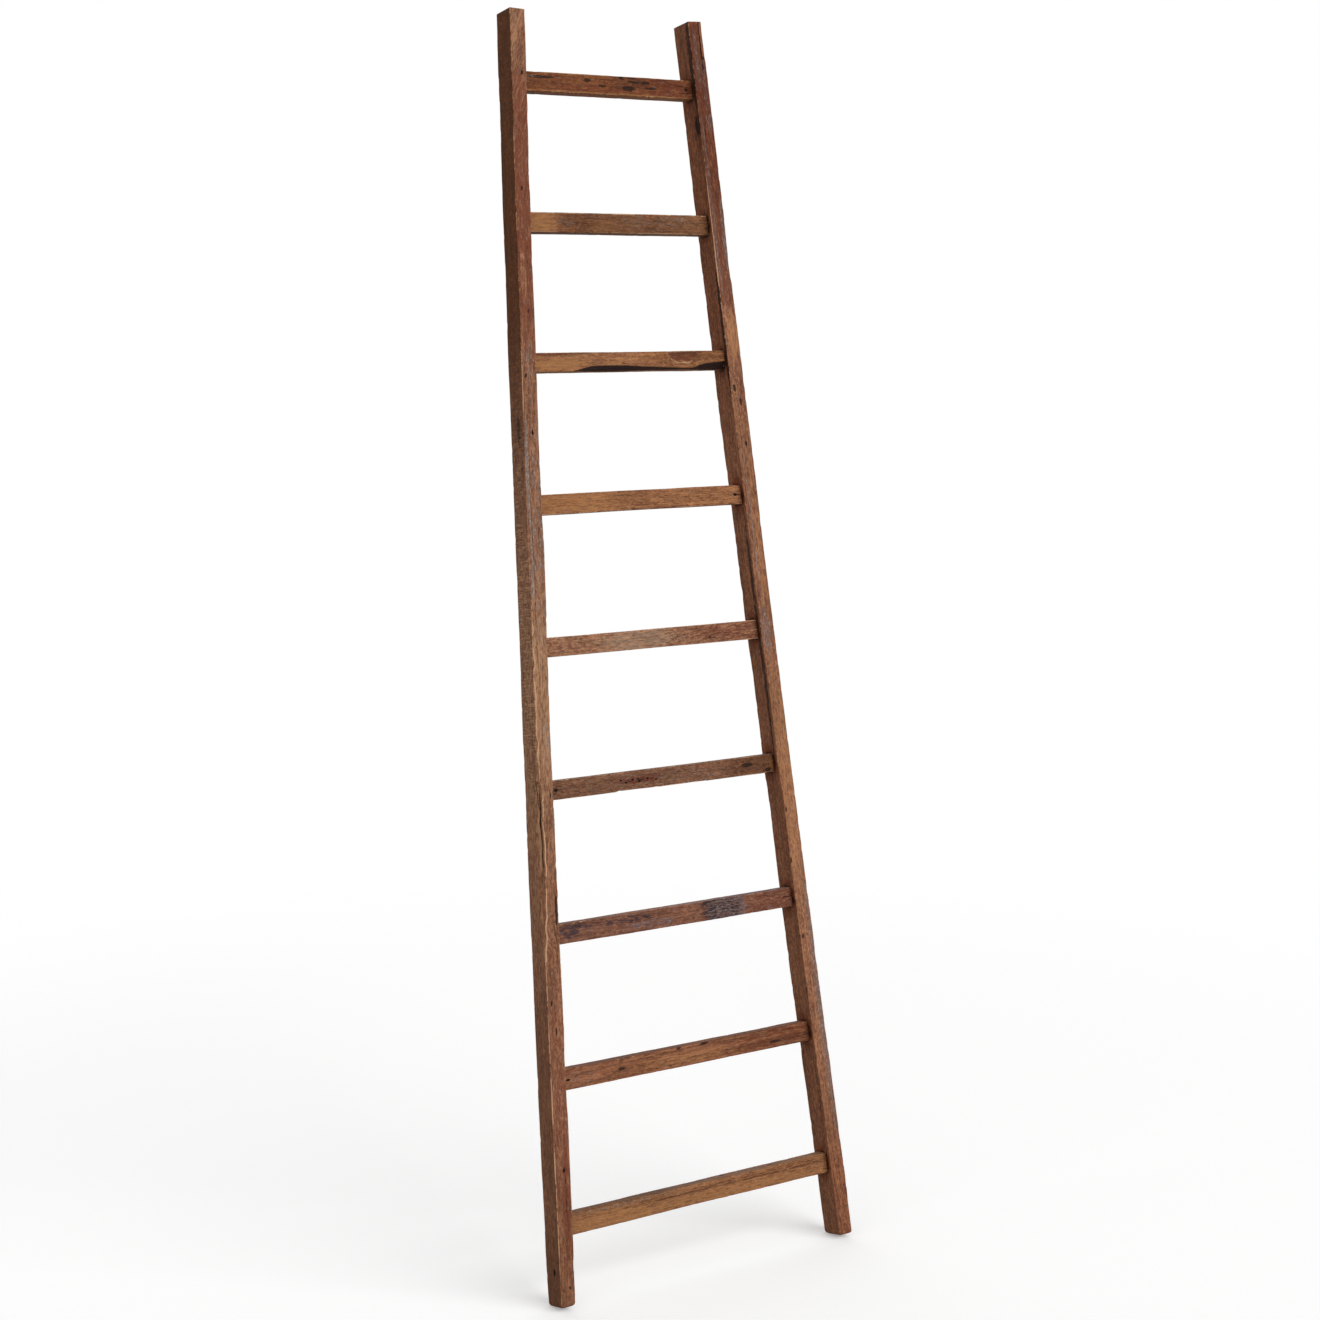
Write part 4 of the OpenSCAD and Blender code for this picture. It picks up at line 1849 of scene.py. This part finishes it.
LEFT_STILE = {
    "slant": ((0, 0.0), (560, 0.0), (640, -0.14), (760, 0.05), (1700, 0.0), (1780, 0.12),
              (1900, -0.05), (1980, 0.05), (2060, 0.30), (2262, 0.42)),
    "marks": marks(
        (SHADE, F, (60, 15, 260, 90, 0.30, 1.3)),
        (RED, F, (330, 15, 560, 60, 0.44, 1.0), (205, 21, 230, 9, 1.1),
         (1915, 15, 510, 60, 0.76, 0.9)),
        (DARK, F, (205, 20.5, 150, 2.4, 0.62), (1795, 21, 150, 2.2, 0.62), (2151, 21, 8, 4, 1.3),
         (1949, 13, 7, 3.5, 1.1), (1735, 17.6, 7, 3.5, 1.0), (1622, 8, 8, 4, 1.2),
         (1522, 17, 9, 4, 1.3), (889, 24, 10, 4, 1.1), (655, 16, 9, 3, 0.8), (528, 8, 9, 4, 1.2),
         (478, 15.5, 13, 4, 1.2), (690, 26, 60, 5, 0.9), (237, 17.7, 9, 4, 1.2)),
        (PALE, F, (1800, 11, 110, 12, 0.4, 0.6), (2220, 8, 110, 18, 0.45, 1.3),
         (1060, 16, 380, 60, 0.56, 1.2)),
        (GREY, F, (1480, 4.5, 160, 6, 0.9, 0.7), (1405, 5.8, 110, 4.0, 1.8, 0.5),
         (1325, 8.2, 110, 4.4, 1.8, 0.5), (1262, 6, 60, 6, 1.6, 0.5),
         (1340, 20, 420, 30, 0.34, 1.2), (980, 20, 90, 14, 0.42), (1650, 14, 70, 12, 0.45)),
        (PALE, L, (815, 8.5, 110, 4.5, 1.2, 0.7), (960, 24, 760, 70, 0.40, 1.2)),
        (WORN, F, (900, 6, 720, 16, 0.45, 0.8), (1500, 4, 260, 12, 0.8, 0.8),
         (300, 2, 600, 8, 0.5)),
        (KNOT, F, (2151, 21, 26, 12), (1949, 13, 30, 14), (1735, 17.6, 34, 16), (889, 24, 40, 18),
         (655, 16, 50, 22), (575, 14, 44, 20), (478, 15.5, 44, 20)),
        (SHADE, L, (2030, 24, 1000, 140, 0.95, 0.9), (300, 24, 500, 140, 0.35, 1.2),
         (60, 24, 240, 140, 0.55, 1.2)),
        (RED, L, (780, 24, 560, 70, 0.25, 1.2)),
        (SAWN, L, (1180, 24, 620, 70, 1.0), (1550, 24, 400, 70, 0.6, 1.2),
         (2000, 24, 600, 70, 0.45, 1.0)),
        (DARK, L, (1530, 20, 60, 12, 0.7)),
    ),
    "scoops": (
        Scoop(L, 818, 8, 110, 12, 1.6, 0.9, 0.1, 0.6), Scoop(H, 745, 4, 130, 22, 2.0),
        Scoop(H, 1975, 2, 40, 10, 1.2), Scoop(H, 1180, 2, 70, 14, 1.4),
    ),
    "cracks": (
        Crack(F, 1040, 1560, 10.5, 8.5, 0.6, 0.6, 0.8),
        Crack(L, 738, 912, 4.8, 3.8, 2.5, 3.0, 1.0, 1.6, 0.4),
        Crack(L, 850, 1010, 6, 13, 1.0, 1.2, 0.9, 1.2, 0.3),
    ),
    "bevels": (
        Bevel(L, ((600, 0), (660, 4.5), (720, 6), (800, 8), (870, 7), (940, 4), (1040, 1.5), (1240, 0)),
              60.0, 2.0),
        Bevel(L, ((1250, 0), (1310, 8), (1500, 9), (1580, 0)), 13.0, 0.6, rim=0.5),
    ),
    "holes": (
        Hole(F, 1522, 17, 3.5, 2.4), Hole(F, 32.6, 19, 3, 2.2), Hole(F, 237, 17.7, 3, 1.8),
        Hole(L, 60.9, 18.4, 11, 5, 8),
    ),
}
RIGHT_STILE = {
    "slant": ((0, 0.0), (1480, 0.0), (1560, 0.10), (1640, -0.08), (1760, 0.0), (2262, 0.02)),
    "marks": marks(
        (RED, F, (2002, 15, 544, 70, 0.70, 0.2), (1640, 6, 300, 8, 0.55),
         (1300, 13, 380, 60, 0.45, 1.0)),
        (PALE, F, (1690, 12, 90, 22, 0.7, 0.5), (2230, 3, 80, 9, 0.62),
         (850, 15, 420, 60, 0.5, 1.2), (1320, 12, 320, 24, 0.5, 1.2)),
        (SHADE, F, (2110, 20, 460, 60, 0.45, 0.9), (70, 15, 280, 90, 0.36, 1.3)),
        (GREY, F, (2195, 20, 110, 9, 1.1), (2180, 8, 26, 8, 1.2), (2138, 10, 90, 6, 0.9),
         (2080, 9, 30, 13, 1.3), (1930, 24, 330, 7, 1.0), (1870, 5, 150, 8, 1.0),
         (1330, 20, 280, 4, 1.0), (1145, 18, 90, 20, 0.8), (420, 6, 480, 12, 0.95)),
        (KNOT, F, (2080, 9, 50, 22), (1593, 23, 40, 16), (1567, 12, 44, 16)),
        (DARK, F, (2196, 4, 5, 9, 1.2, 0.5), (2215, 8.8, 120, 2.8, 1.0), (1593, 23, 14, 6, 0.9),
         (1567, 12, 14, 7, 0.9), (1489, 12, 9, 4, 1.3), (807, 25, 11, 4, 1.2),
         (712, 28, 10, 4, 1.2), (568, 23.5, 11, 5, 1.1)),
        (WORN, F, (1930, 28, 330, 10, 1.2, 0.8)),
        (DARK, H, (2190, 4, 200, 15, 0.85), (2076, 9, 42, 15, 0.9), (1700, 3.5, 250, 8, 1.0),
         (1120, 9, 520, 10, 0.75)),
        (SHADE, H, (2190, 8, 220, 30, 0.3), (2062, 10, 130, 34, 0.5),
         (1920, 24, 800, 140, 0.46, 1.0), (700, 24, 1700, 140, 0.26, 1.0)),
        (KNOT, H, (2066, 13, 150, 34)),
    ),
    "scoops": (
        Scoop(H, 1215, 44, 24, 12, 2.2, 0.6, 0.4),
        Scoop(H, 2068, 7, 76, 18, 2.4, 0.8, 0.4, 0.3),
    ),
    "cracks": (Crack(F, 2150, 2262, 9.2, 8.4, 0.8, 0.8, 0.8), Crack(F, 2010, 2090, 22, 19, 0.7, 0.7)),
    "bevels": (
        Bevel(L, ((2040, 0), (2100, 3), (2190, 3), (2198, 7.5), (2262, 7.0)), 24.0, 0.8, rim=0.3),
        Bevel(L, ((1778, 0), (1796, 2.8), (1830, 2.6), (1900, 0.8), (1930, 0)), 60.0, 0.5, rim=0.2),
        Bevel(L, ((2, 4), (60, 3), (90, 0)), 35.0),
    ),
    "holes": (Hole(F, 1489, 12.2, 3.5, 2.4),),
}
RUNGS = {
    1: {
        "marks": marks(
            (DARK, F, (36, 25.5, 52, 5, 1.2), (130, 24, 14, 7, 0.95), (160, 15.5, 20, 4, 0.95),
             (216, 13, 24, 9, 1.4), (240, 25, 66, 7, 0.66), (205, 32, 50, 5, 0.6),
             (262, 15.5, 36, 4, 0.9)),
            (GREY, F, (22, 26, 26, 4, 0.9)),
            (KNOT, F, (214, 13, 50, 22)),
            (SHADE, F, (240, 24, 170, 34, 0.25)),
            (RED, F, (300, 18, 130, 50, 0.64, 1.0), (150, 9, 150, 16, 0.56)),
            (PALE, F, (176, 2, 400, 3.4, 0.8), (80, 34.5, 180, 3, 1.0)),
        ),
        "scoops": (Scoop(F, 344, 15, 18, 18, 1.2, 0.8, 0.35), Scoop(L, 349, 0, 12, 20, 1.6)),
        "cracks": (Crack(F, 312, 350, 24, 20, 0.7, 0.7), Crack(F, 322, 352, 8, 11, 0.6, 0.6)),
    },
    2: {
        "marks": marks(
            (PALE, F, (20, 17, 70, 50, 0.8)),
            (SHADE, F, (105, 17, 70, 44, 0.42), (250, 20, 120, 30, 0.14)),
            (GREY, F, (85, 20, 50, 24, 0.36), (270, 22, 170, 22, 0.36)),
            (RED, F, (180, 17, 80, 44, 0.62), (300, 12, 90, 16, 0.45)),
            (WORN, F, (190, 1, 400, 8, 0.8)),
        ),
    },
    3: {
        "marks": marks(
            (RED, F, (28, 33, 90, 8, 1.2, 0.5), (313, 28, 66, 24, 0.85, 0.5),
             (200, 34.5, 420, 2.5, 0.9)),
            (PALE, F, (50, 14, 120, 24, 0.75)),
            (SHADE, F, (375, 28, 80, 30, 0.35), (300, 26, 140, 40, 0.3)),
            (KNOT, F, (313, 30, 90, 44)),
        ),
        "scoops": (Scoop(F, 313, 34, 66, 40, 3.2, 0.36, 0.12, 0.8),),
        # The lower arris is bevelled away and painted near-black: bark, and painted shade on the bevel's
        # downward face
        "bevels": (Bevel(L, ((60, 0), (76, 0.5), (82, 2.3), (108, 7.5), (116, 10), (186, 10.7),
                             (212, 8.9), (257, 6.6), (292, 5.7), (322, 4), (335, 5.2), (347, 9.8),
                             (361, 12.3), (403, 14.8)), bark=1.0, rim=0.0),),
    },
    4: {
        "marks": marks(
            (PALE, F, (60, 16, 200, 50, 0.6, 1.2)),
            (DARK, F, (425, 17, 13, 4, 0.7)),
        ),
    },
    5: {
        "marks": marks(
            (PALE, F, (190, 18, 170, 40, 0.56)),
            (GREY, F, (190, 18, 150, 40, 0.4)),
            (KNOT, F, (280, 18, 44, 24), (348, 11, 36, 20)),
            (DARK, F, (280, 18, 8, 3.5, 0.7), (348, 11, 7, 3.5, 0.8)),
            (RED, F, (410, 18, 200, 60, 0.55, 1.2)),
        ),
        "scoops": (Scoop(L, 450, 3, 14, 16, 1.4),),
    },
    6: {
        "marks": marks(
            (RED, F, (180, 18, 110, 13, 0.85)),
            (DARK, F, (182, 17, 96, 9, 0.42), (420, 19, 30, 7, 1.0), (466, 6, 12, 8, 1.3)),
            (SHADE, F, (40, 17, 220, 60, 0.12, 1.2), (440, 20, 140, 50, 0.52)),
            (PALE, F, (474, 14, 8, 26, 1.3)),
            (GREY, F, (250, 17, 480, 30, 0.22, 1.2)),
        ),
        "scoops": (Scoop(L, 235, 12, 190, 44, 1.6, 0.3), Scoop(L, 168, 12, 64, 44, 1.8, 0.4),
                   Scoop(L, 468, 3, 12, 18, 1.6)),
        "holes": tuple(Hole(F, at, up, 4, 2.4, 2) for at, up in
                       ((147, 19.5), (158, 15), (172, 19), (186, 14.5), (203, 18), (221, 14))),
    },
    7: {
        "marks": marks(
            (DARK, F, (345, 20, 84, 50, 0.52, 0.3, True), (40, 26, 90, 15, 0.5),
             (30, 17, 34, 16, 0.74), (150, 25, 120, 14, 0.56)),
            (GREY, F, (356, 15, 86, 46, 0.9, 0.4, True), (354, 7, 78, 14, 1.0, 0.5),
             (200, 12, 120, 14, 0.5)),
            (SHADE, F, (351, 17, 88, 50, 0.45, 0.3, True), (210, 20, 120, 30, 0.2)),
            (RED, F, (460, 17, 130, 60, 0.45)),
        ),
        "cracks": (Crack(F, 482, 512, 20, 19.5, 0.8, 1.6),),
    },
    8: {
        "marks": marks(
            (DARK, F, (122, 18.5, 14, 5, 1.3), (244, 35, 10, 5, 1.2), (299, 35, 18, 5, 1.2),
             (454, 12, 30, 5, 1.0), (215, 7, 60, 3, 0.6)),
            (RED, F, (450, 18, 220, 60, 0.4, 1.1)),
            (PALE, F, (250, 14, 200, 24, 0.5, 1.2)),
            (SHADE, F, (480, 18, 200, 60, 0.2, 1.2)),
            (GREY, F, (40, 16, 80, 30, 0.32)),
            (GREY, H, (265, 12, 560, 40, 0.3)),
            # Painted shade darkens the top, against the white background's reflection on it
            (SHADE, H, (265, 12, 560, 60, 0.75)),
        ),
    },
    9: {
        "marks": marks(
            (RED, F, (278, 23.5, 580, 2.2, 0.95), (410, 28, 260, 2, 0.75), (130, 29, 220, 2, 0.5)),
            (PALE, F, (278, 10, 620, 22, 0.5), (90, 12, 220, 30, 0.62)),
            (GREY, F, (120, 32, 200, 4, 0.6)),
            (GREY, H, (278, 12, 560, 40, 0.6)),
            # Painted shade darkens the top, against the white background's reflection on it
            (SHADE, H, (278, 12, 620, 60, 0.35)),
            (SHADE, F, (490, 28, 200, 26, 0.14)),
        ),
    },
}


STRAY_TINTS = (RED, PALE, GREY, SHADE)
STRAY_LEAST = 8
STRAY_SPREAD = 14
STRAY_DRAW = 9


def strays(seed: int, faces: Sequence, long: float, wide: float, count: int) -> tuple:
    """Scatters knots, stains and worn places over faces that have no marks of their own.

    Args:
        seed: Picks where they lie.
        faces: The faces, which take turns.
        long: Length of the timber in millimetres.
        wide: Width of the faces in millimetres.
        count: Number of places.

    Returns:
        The marks.
    """
    found = []
    for number in range(count):
        draws = lattice(np.full(4, number), np.arange(4), np.full(4, STRAY_DRAW), seed) / 2 + 0.5
        face, at, up = faces[number % len(faces)], draws[0] * long, (0.15 + 0.7 * draws[1]) * wide
        size = STRAY_LEAST + STRAY_SPREAD * draws[2]
        tint = STRAY_TINTS[int(draws[3] * 3.99)]
        found += [
            Mark(KNOT, face, at, up, 2.2 * size, size),
            Mark(DARK, face, at, up, 0.7 * size, 0.3 * size, 1.2),
            Mark(tint, face, long - at, up, 14 * size, 2 * wide, 0.3 + 0.4 * draws[2], 1.2),
        ]
    return tuple(found)


# The pieces of this ladder: each stile's name, seed, unseen faces, wear and finish

STILES = {
    -1: ("stile_left", 21, (B, H), LEFT_STILE, LEFT_FINISH),
    1: ("stile_right", 22, (B, L), RIGHT_STILE, RIGHT_FINISH),
}
STILE_STRAYS = 16
RUNG_STRAYS = 6
RUNG_SEED = 40


class Ladder:
    """All the ladder's pieces, and the finish of each."""

    def __init__(self, frame: LadderFrame, effects: Effects) -> None:
        """Keeps the sizes and the shared effects."""
        self.frame = frame
        self.effects = effects
        self.iron = IronFinish().build()

    def dress(self, thing: bpy.types.Object, node: str,
              material: bpy.types.Material) -> None:
        """Gives a piece its finish and its body, and hides the node that it stands for.

        Args:
            thing: The piece.
            node: The node of the construction that it stands for.
            material: Its finish.
        """
        thing.data.materials.clear()
        thing.data.materials.append(material)
        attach(thing, BODY)
        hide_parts(node)
        low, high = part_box(node)
        size = ", ".join(f"{(b - a) / MM:.0f}" for a, b in zip(low, high))
        LOG.info("%s: %d points, in a box of %s mm", thing.name, len(thing.data.vertices), size)

    def stile(self, side: int) -> None:
        """Builds one stile, -1 for the left one and 1 for the right one.

        Args:
            side: Which stile it is.
        """
        frame = self.frame
        name, seed, hidden, details, finish = STILES[side]
        timber = Stile(frame, name + "_timber", frame.stile_w, frame.stile_d,
                       frame.length / math.cos(frame.splay), seed, side=side, **details)
        scattered = strays(seed, hidden, timber.long / MM, timber.wide / MM, STILE_STRAYS)
        timber.marks += timber.stains() + scattered
        self.dress(timber.build(), name, finish.build(self.effects))

    def rung(self, k: int) -> None:
        """Builds rung k, from the top one down, with its two nails.

        Args:
            k: The rung's number.
        """
        frame = self.frame
        name = f"rung_{k}"
        long = 2 * float(frame.inner_x(frame.rung_z(k)))
        seed = RUNG_SEED + k
        timber = Rung(frame, name + "_timber", frame.rung_face_h(k), frame.rung_t, long, seed,
                      number=k, **RUNGS[k])
        timber.marks += strays(seed, (B, H, L), long / MM, frame.rung_t / MM, RUNG_STRAYS)
        self.dress(timber.build(), name, RUNG_FINISHES[k - 1].build(self.effects))
        pair = NailPair(frame, name + "_nail_pair", k)
        self.dress(pair.build(), name + "_nails", self.iron)


# The studio


class Studio:
    """A plain white studio with soft light, a pale floor and the photograph's camera."""

    frame_px = 1320
    focal_px = 2324
    sensor_mm = 36.0
    camera_place = (-2.208, -3.509, 1.734)
    camera_turn = 32.34
    camera_dip = 8.76
    ambient = 0.32
    floor_bounce = 0.35
    floor_white = 0.86
    floor_lift = 0.24
    floor_size = 16.0
    floor_thick = 0.02
    floor_near = 1.6
    floor_far = 3.2
    lamps = (
        ("key_light", (0.35, -0.80, 0.55), 0.62, 50.0),
        ("side_light", (-0.90, -0.30, 0.45), 0.16, 70.0),
        ("back_light", (0.35, 0.80, 0.60), 0.25, 70.0),
    )

    def camera(self) -> None:
        """Sets the camera at the photograph's viewpoint."""
        data = bpy.data.cameras.new("camera")
        data.sensor_width = self.sensor_mm
        data.lens = self.focal_px / self.frame_px * self.sensor_mm
        camera = linked("camera", data)
        camera.location = self.camera_place
        turn, dip = math.radians(self.camera_turn), math.radians(self.camera_dip)
        level = math.cos(dip)
        self.aim(camera, (math.sin(turn) * level, math.cos(turn) * level, -math.sin(dip)), "-Z")
        bpy.context.scene.camera = camera

    def aim(self, thing: bpy.types.Object, direction: tuple, axis: str) -> None:
        """Turns a camera or a lamp so that one of its axes points in a direction."""
        thing.rotation_mode = "QUATERNION"
        thing.rotation_quaternion = Vector(direction).to_track_quat(axis, "Y")

    def sun(self, name: str, towards: tuple, strength: float, width: float) -> None:
        """Adds one soft lamp.

        Args:
            name: The lamp's name.
            towards: The direction from the ladder to the lamp.
            strength: Share of white that it puts on a surface that faces it.
            width: How wide it looks from the ladder, in degrees.
        """
        data = bpy.data.lights.new(name, "SUN")
        data.energy = strength * math.pi
        data.angle = math.radians(width)
        self.aim(linked(name, data), towards, "Z")

    def white_where_seen(self, bench: Bench) -> Socket:
        """Gives 1 for rays that come straight, by reflection or through glass from the camera."""
        paths = bench.add("ShaderNodeLightPath").outputs
        seen = bench.math("MAXIMUM", paths["Is Camera Ray"], paths["Is Glossy Ray"])
        return bench.math("MAXIMUM", seen, paths["Is Transmission Ray"])

    def world(self) -> None:
        """Makes a white background that lights the ladder only gently."""
        world = bpy.data.worlds.new("white_studio")
        bench = bare_bench(world)
        soft = bench.add("ShaderNodeBackground", Color=WHITE, Strength=self.ambient)
        white = bench.add("ShaderNodeBackground", Color=WHITE, Strength=1.0)
        mix = bench.add("ShaderNodeMixShader", in_0=self.white_where_seen(bench),
                        in_1=soft.outputs[0], in_2=white.outputs[0])
        bench.add("ShaderNodeOutputWorld", Surface=mix.outputs[0])
        bpy.context.scene.world = world

    def floor(self) -> None:
        """Lays a pale floor that keeps the ladder's shadow and turns white far away."""
        piece = Piece("floor")
        half = self.floor_size / 2
        corners = [(x, y, z) for z in (-self.floor_thick, 0.0)
                   for x, y in ((-half, -half), (half, -half), (half, half), (-half, half))]
        piece.block(np.array(corners))
        floor = piece.make()
        material = bpy.data.materials.new("pale_floor")
        bench = bare_bench(material)
        place = bench.add("ShaderNodeTexCoord").outputs["Object"]
        far = bench.ease(bench.vector("LENGTH", place).outputs["Value"], self.floor_near, self.floor_far)
        near = bench.add("ShaderNodeBsdfDiffuse", Color=tinted(WHITE, self.floor_white))
        lift = bench.add("ShaderNodeEmission", Color=WHITE, Strength=self.floor_lift)
        lifted = bench.add("ShaderNodeAddShader", in_0=near.outputs[0], in_1=lift.outputs[0])
        white = bench.add("ShaderNodeEmission", Color=WHITE, Strength=1.0)
        seen = bench.add("ShaderNodeMixShader", in_0=far, in_1=lifted.outputs[0], in_2=white.outputs[0])
        unseen = bench.add("ShaderNodeBsdfDiffuse", Color=tinted(WHITE, self.floor_bounce))
        both = bench.add("ShaderNodeMixShader", in_0=self.white_where_seen(bench),
                         in_1=unseen.outputs[0], in_2=seen.outputs[0])
        bench.add("ShaderNodeOutputMaterial", Surface=both.outputs[0])
        floor.data.materials.append(material)

    def build(self) -> None:
        """Sets up the camera, the lamps, the background and the floor."""
        self.camera()
        self.world()
        self.floor()
        for lamp in self.lamps:
            self.sun(*lamp)
        bpy.context.scene.view_settings.view_transform = "Standard"
        LOG.info("studio: camera, three lamps, background and floor")


def main() -> None:
    """Builds the studio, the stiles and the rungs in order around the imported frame."""
    logging.basicConfig(level=logging.INFO, format="%(message)s")
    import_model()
    Studio().build()
    frame = LadderFrame(back_of_top=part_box("stile_left")[1].y)
    ladder = Ladder(frame, Effects())
    for side in (-1, 1):
        ladder.stile(side)
    for k in range(1, frame.rungs + 1):
        ladder.rung(k)


if __name__ == "__main__":
    main()
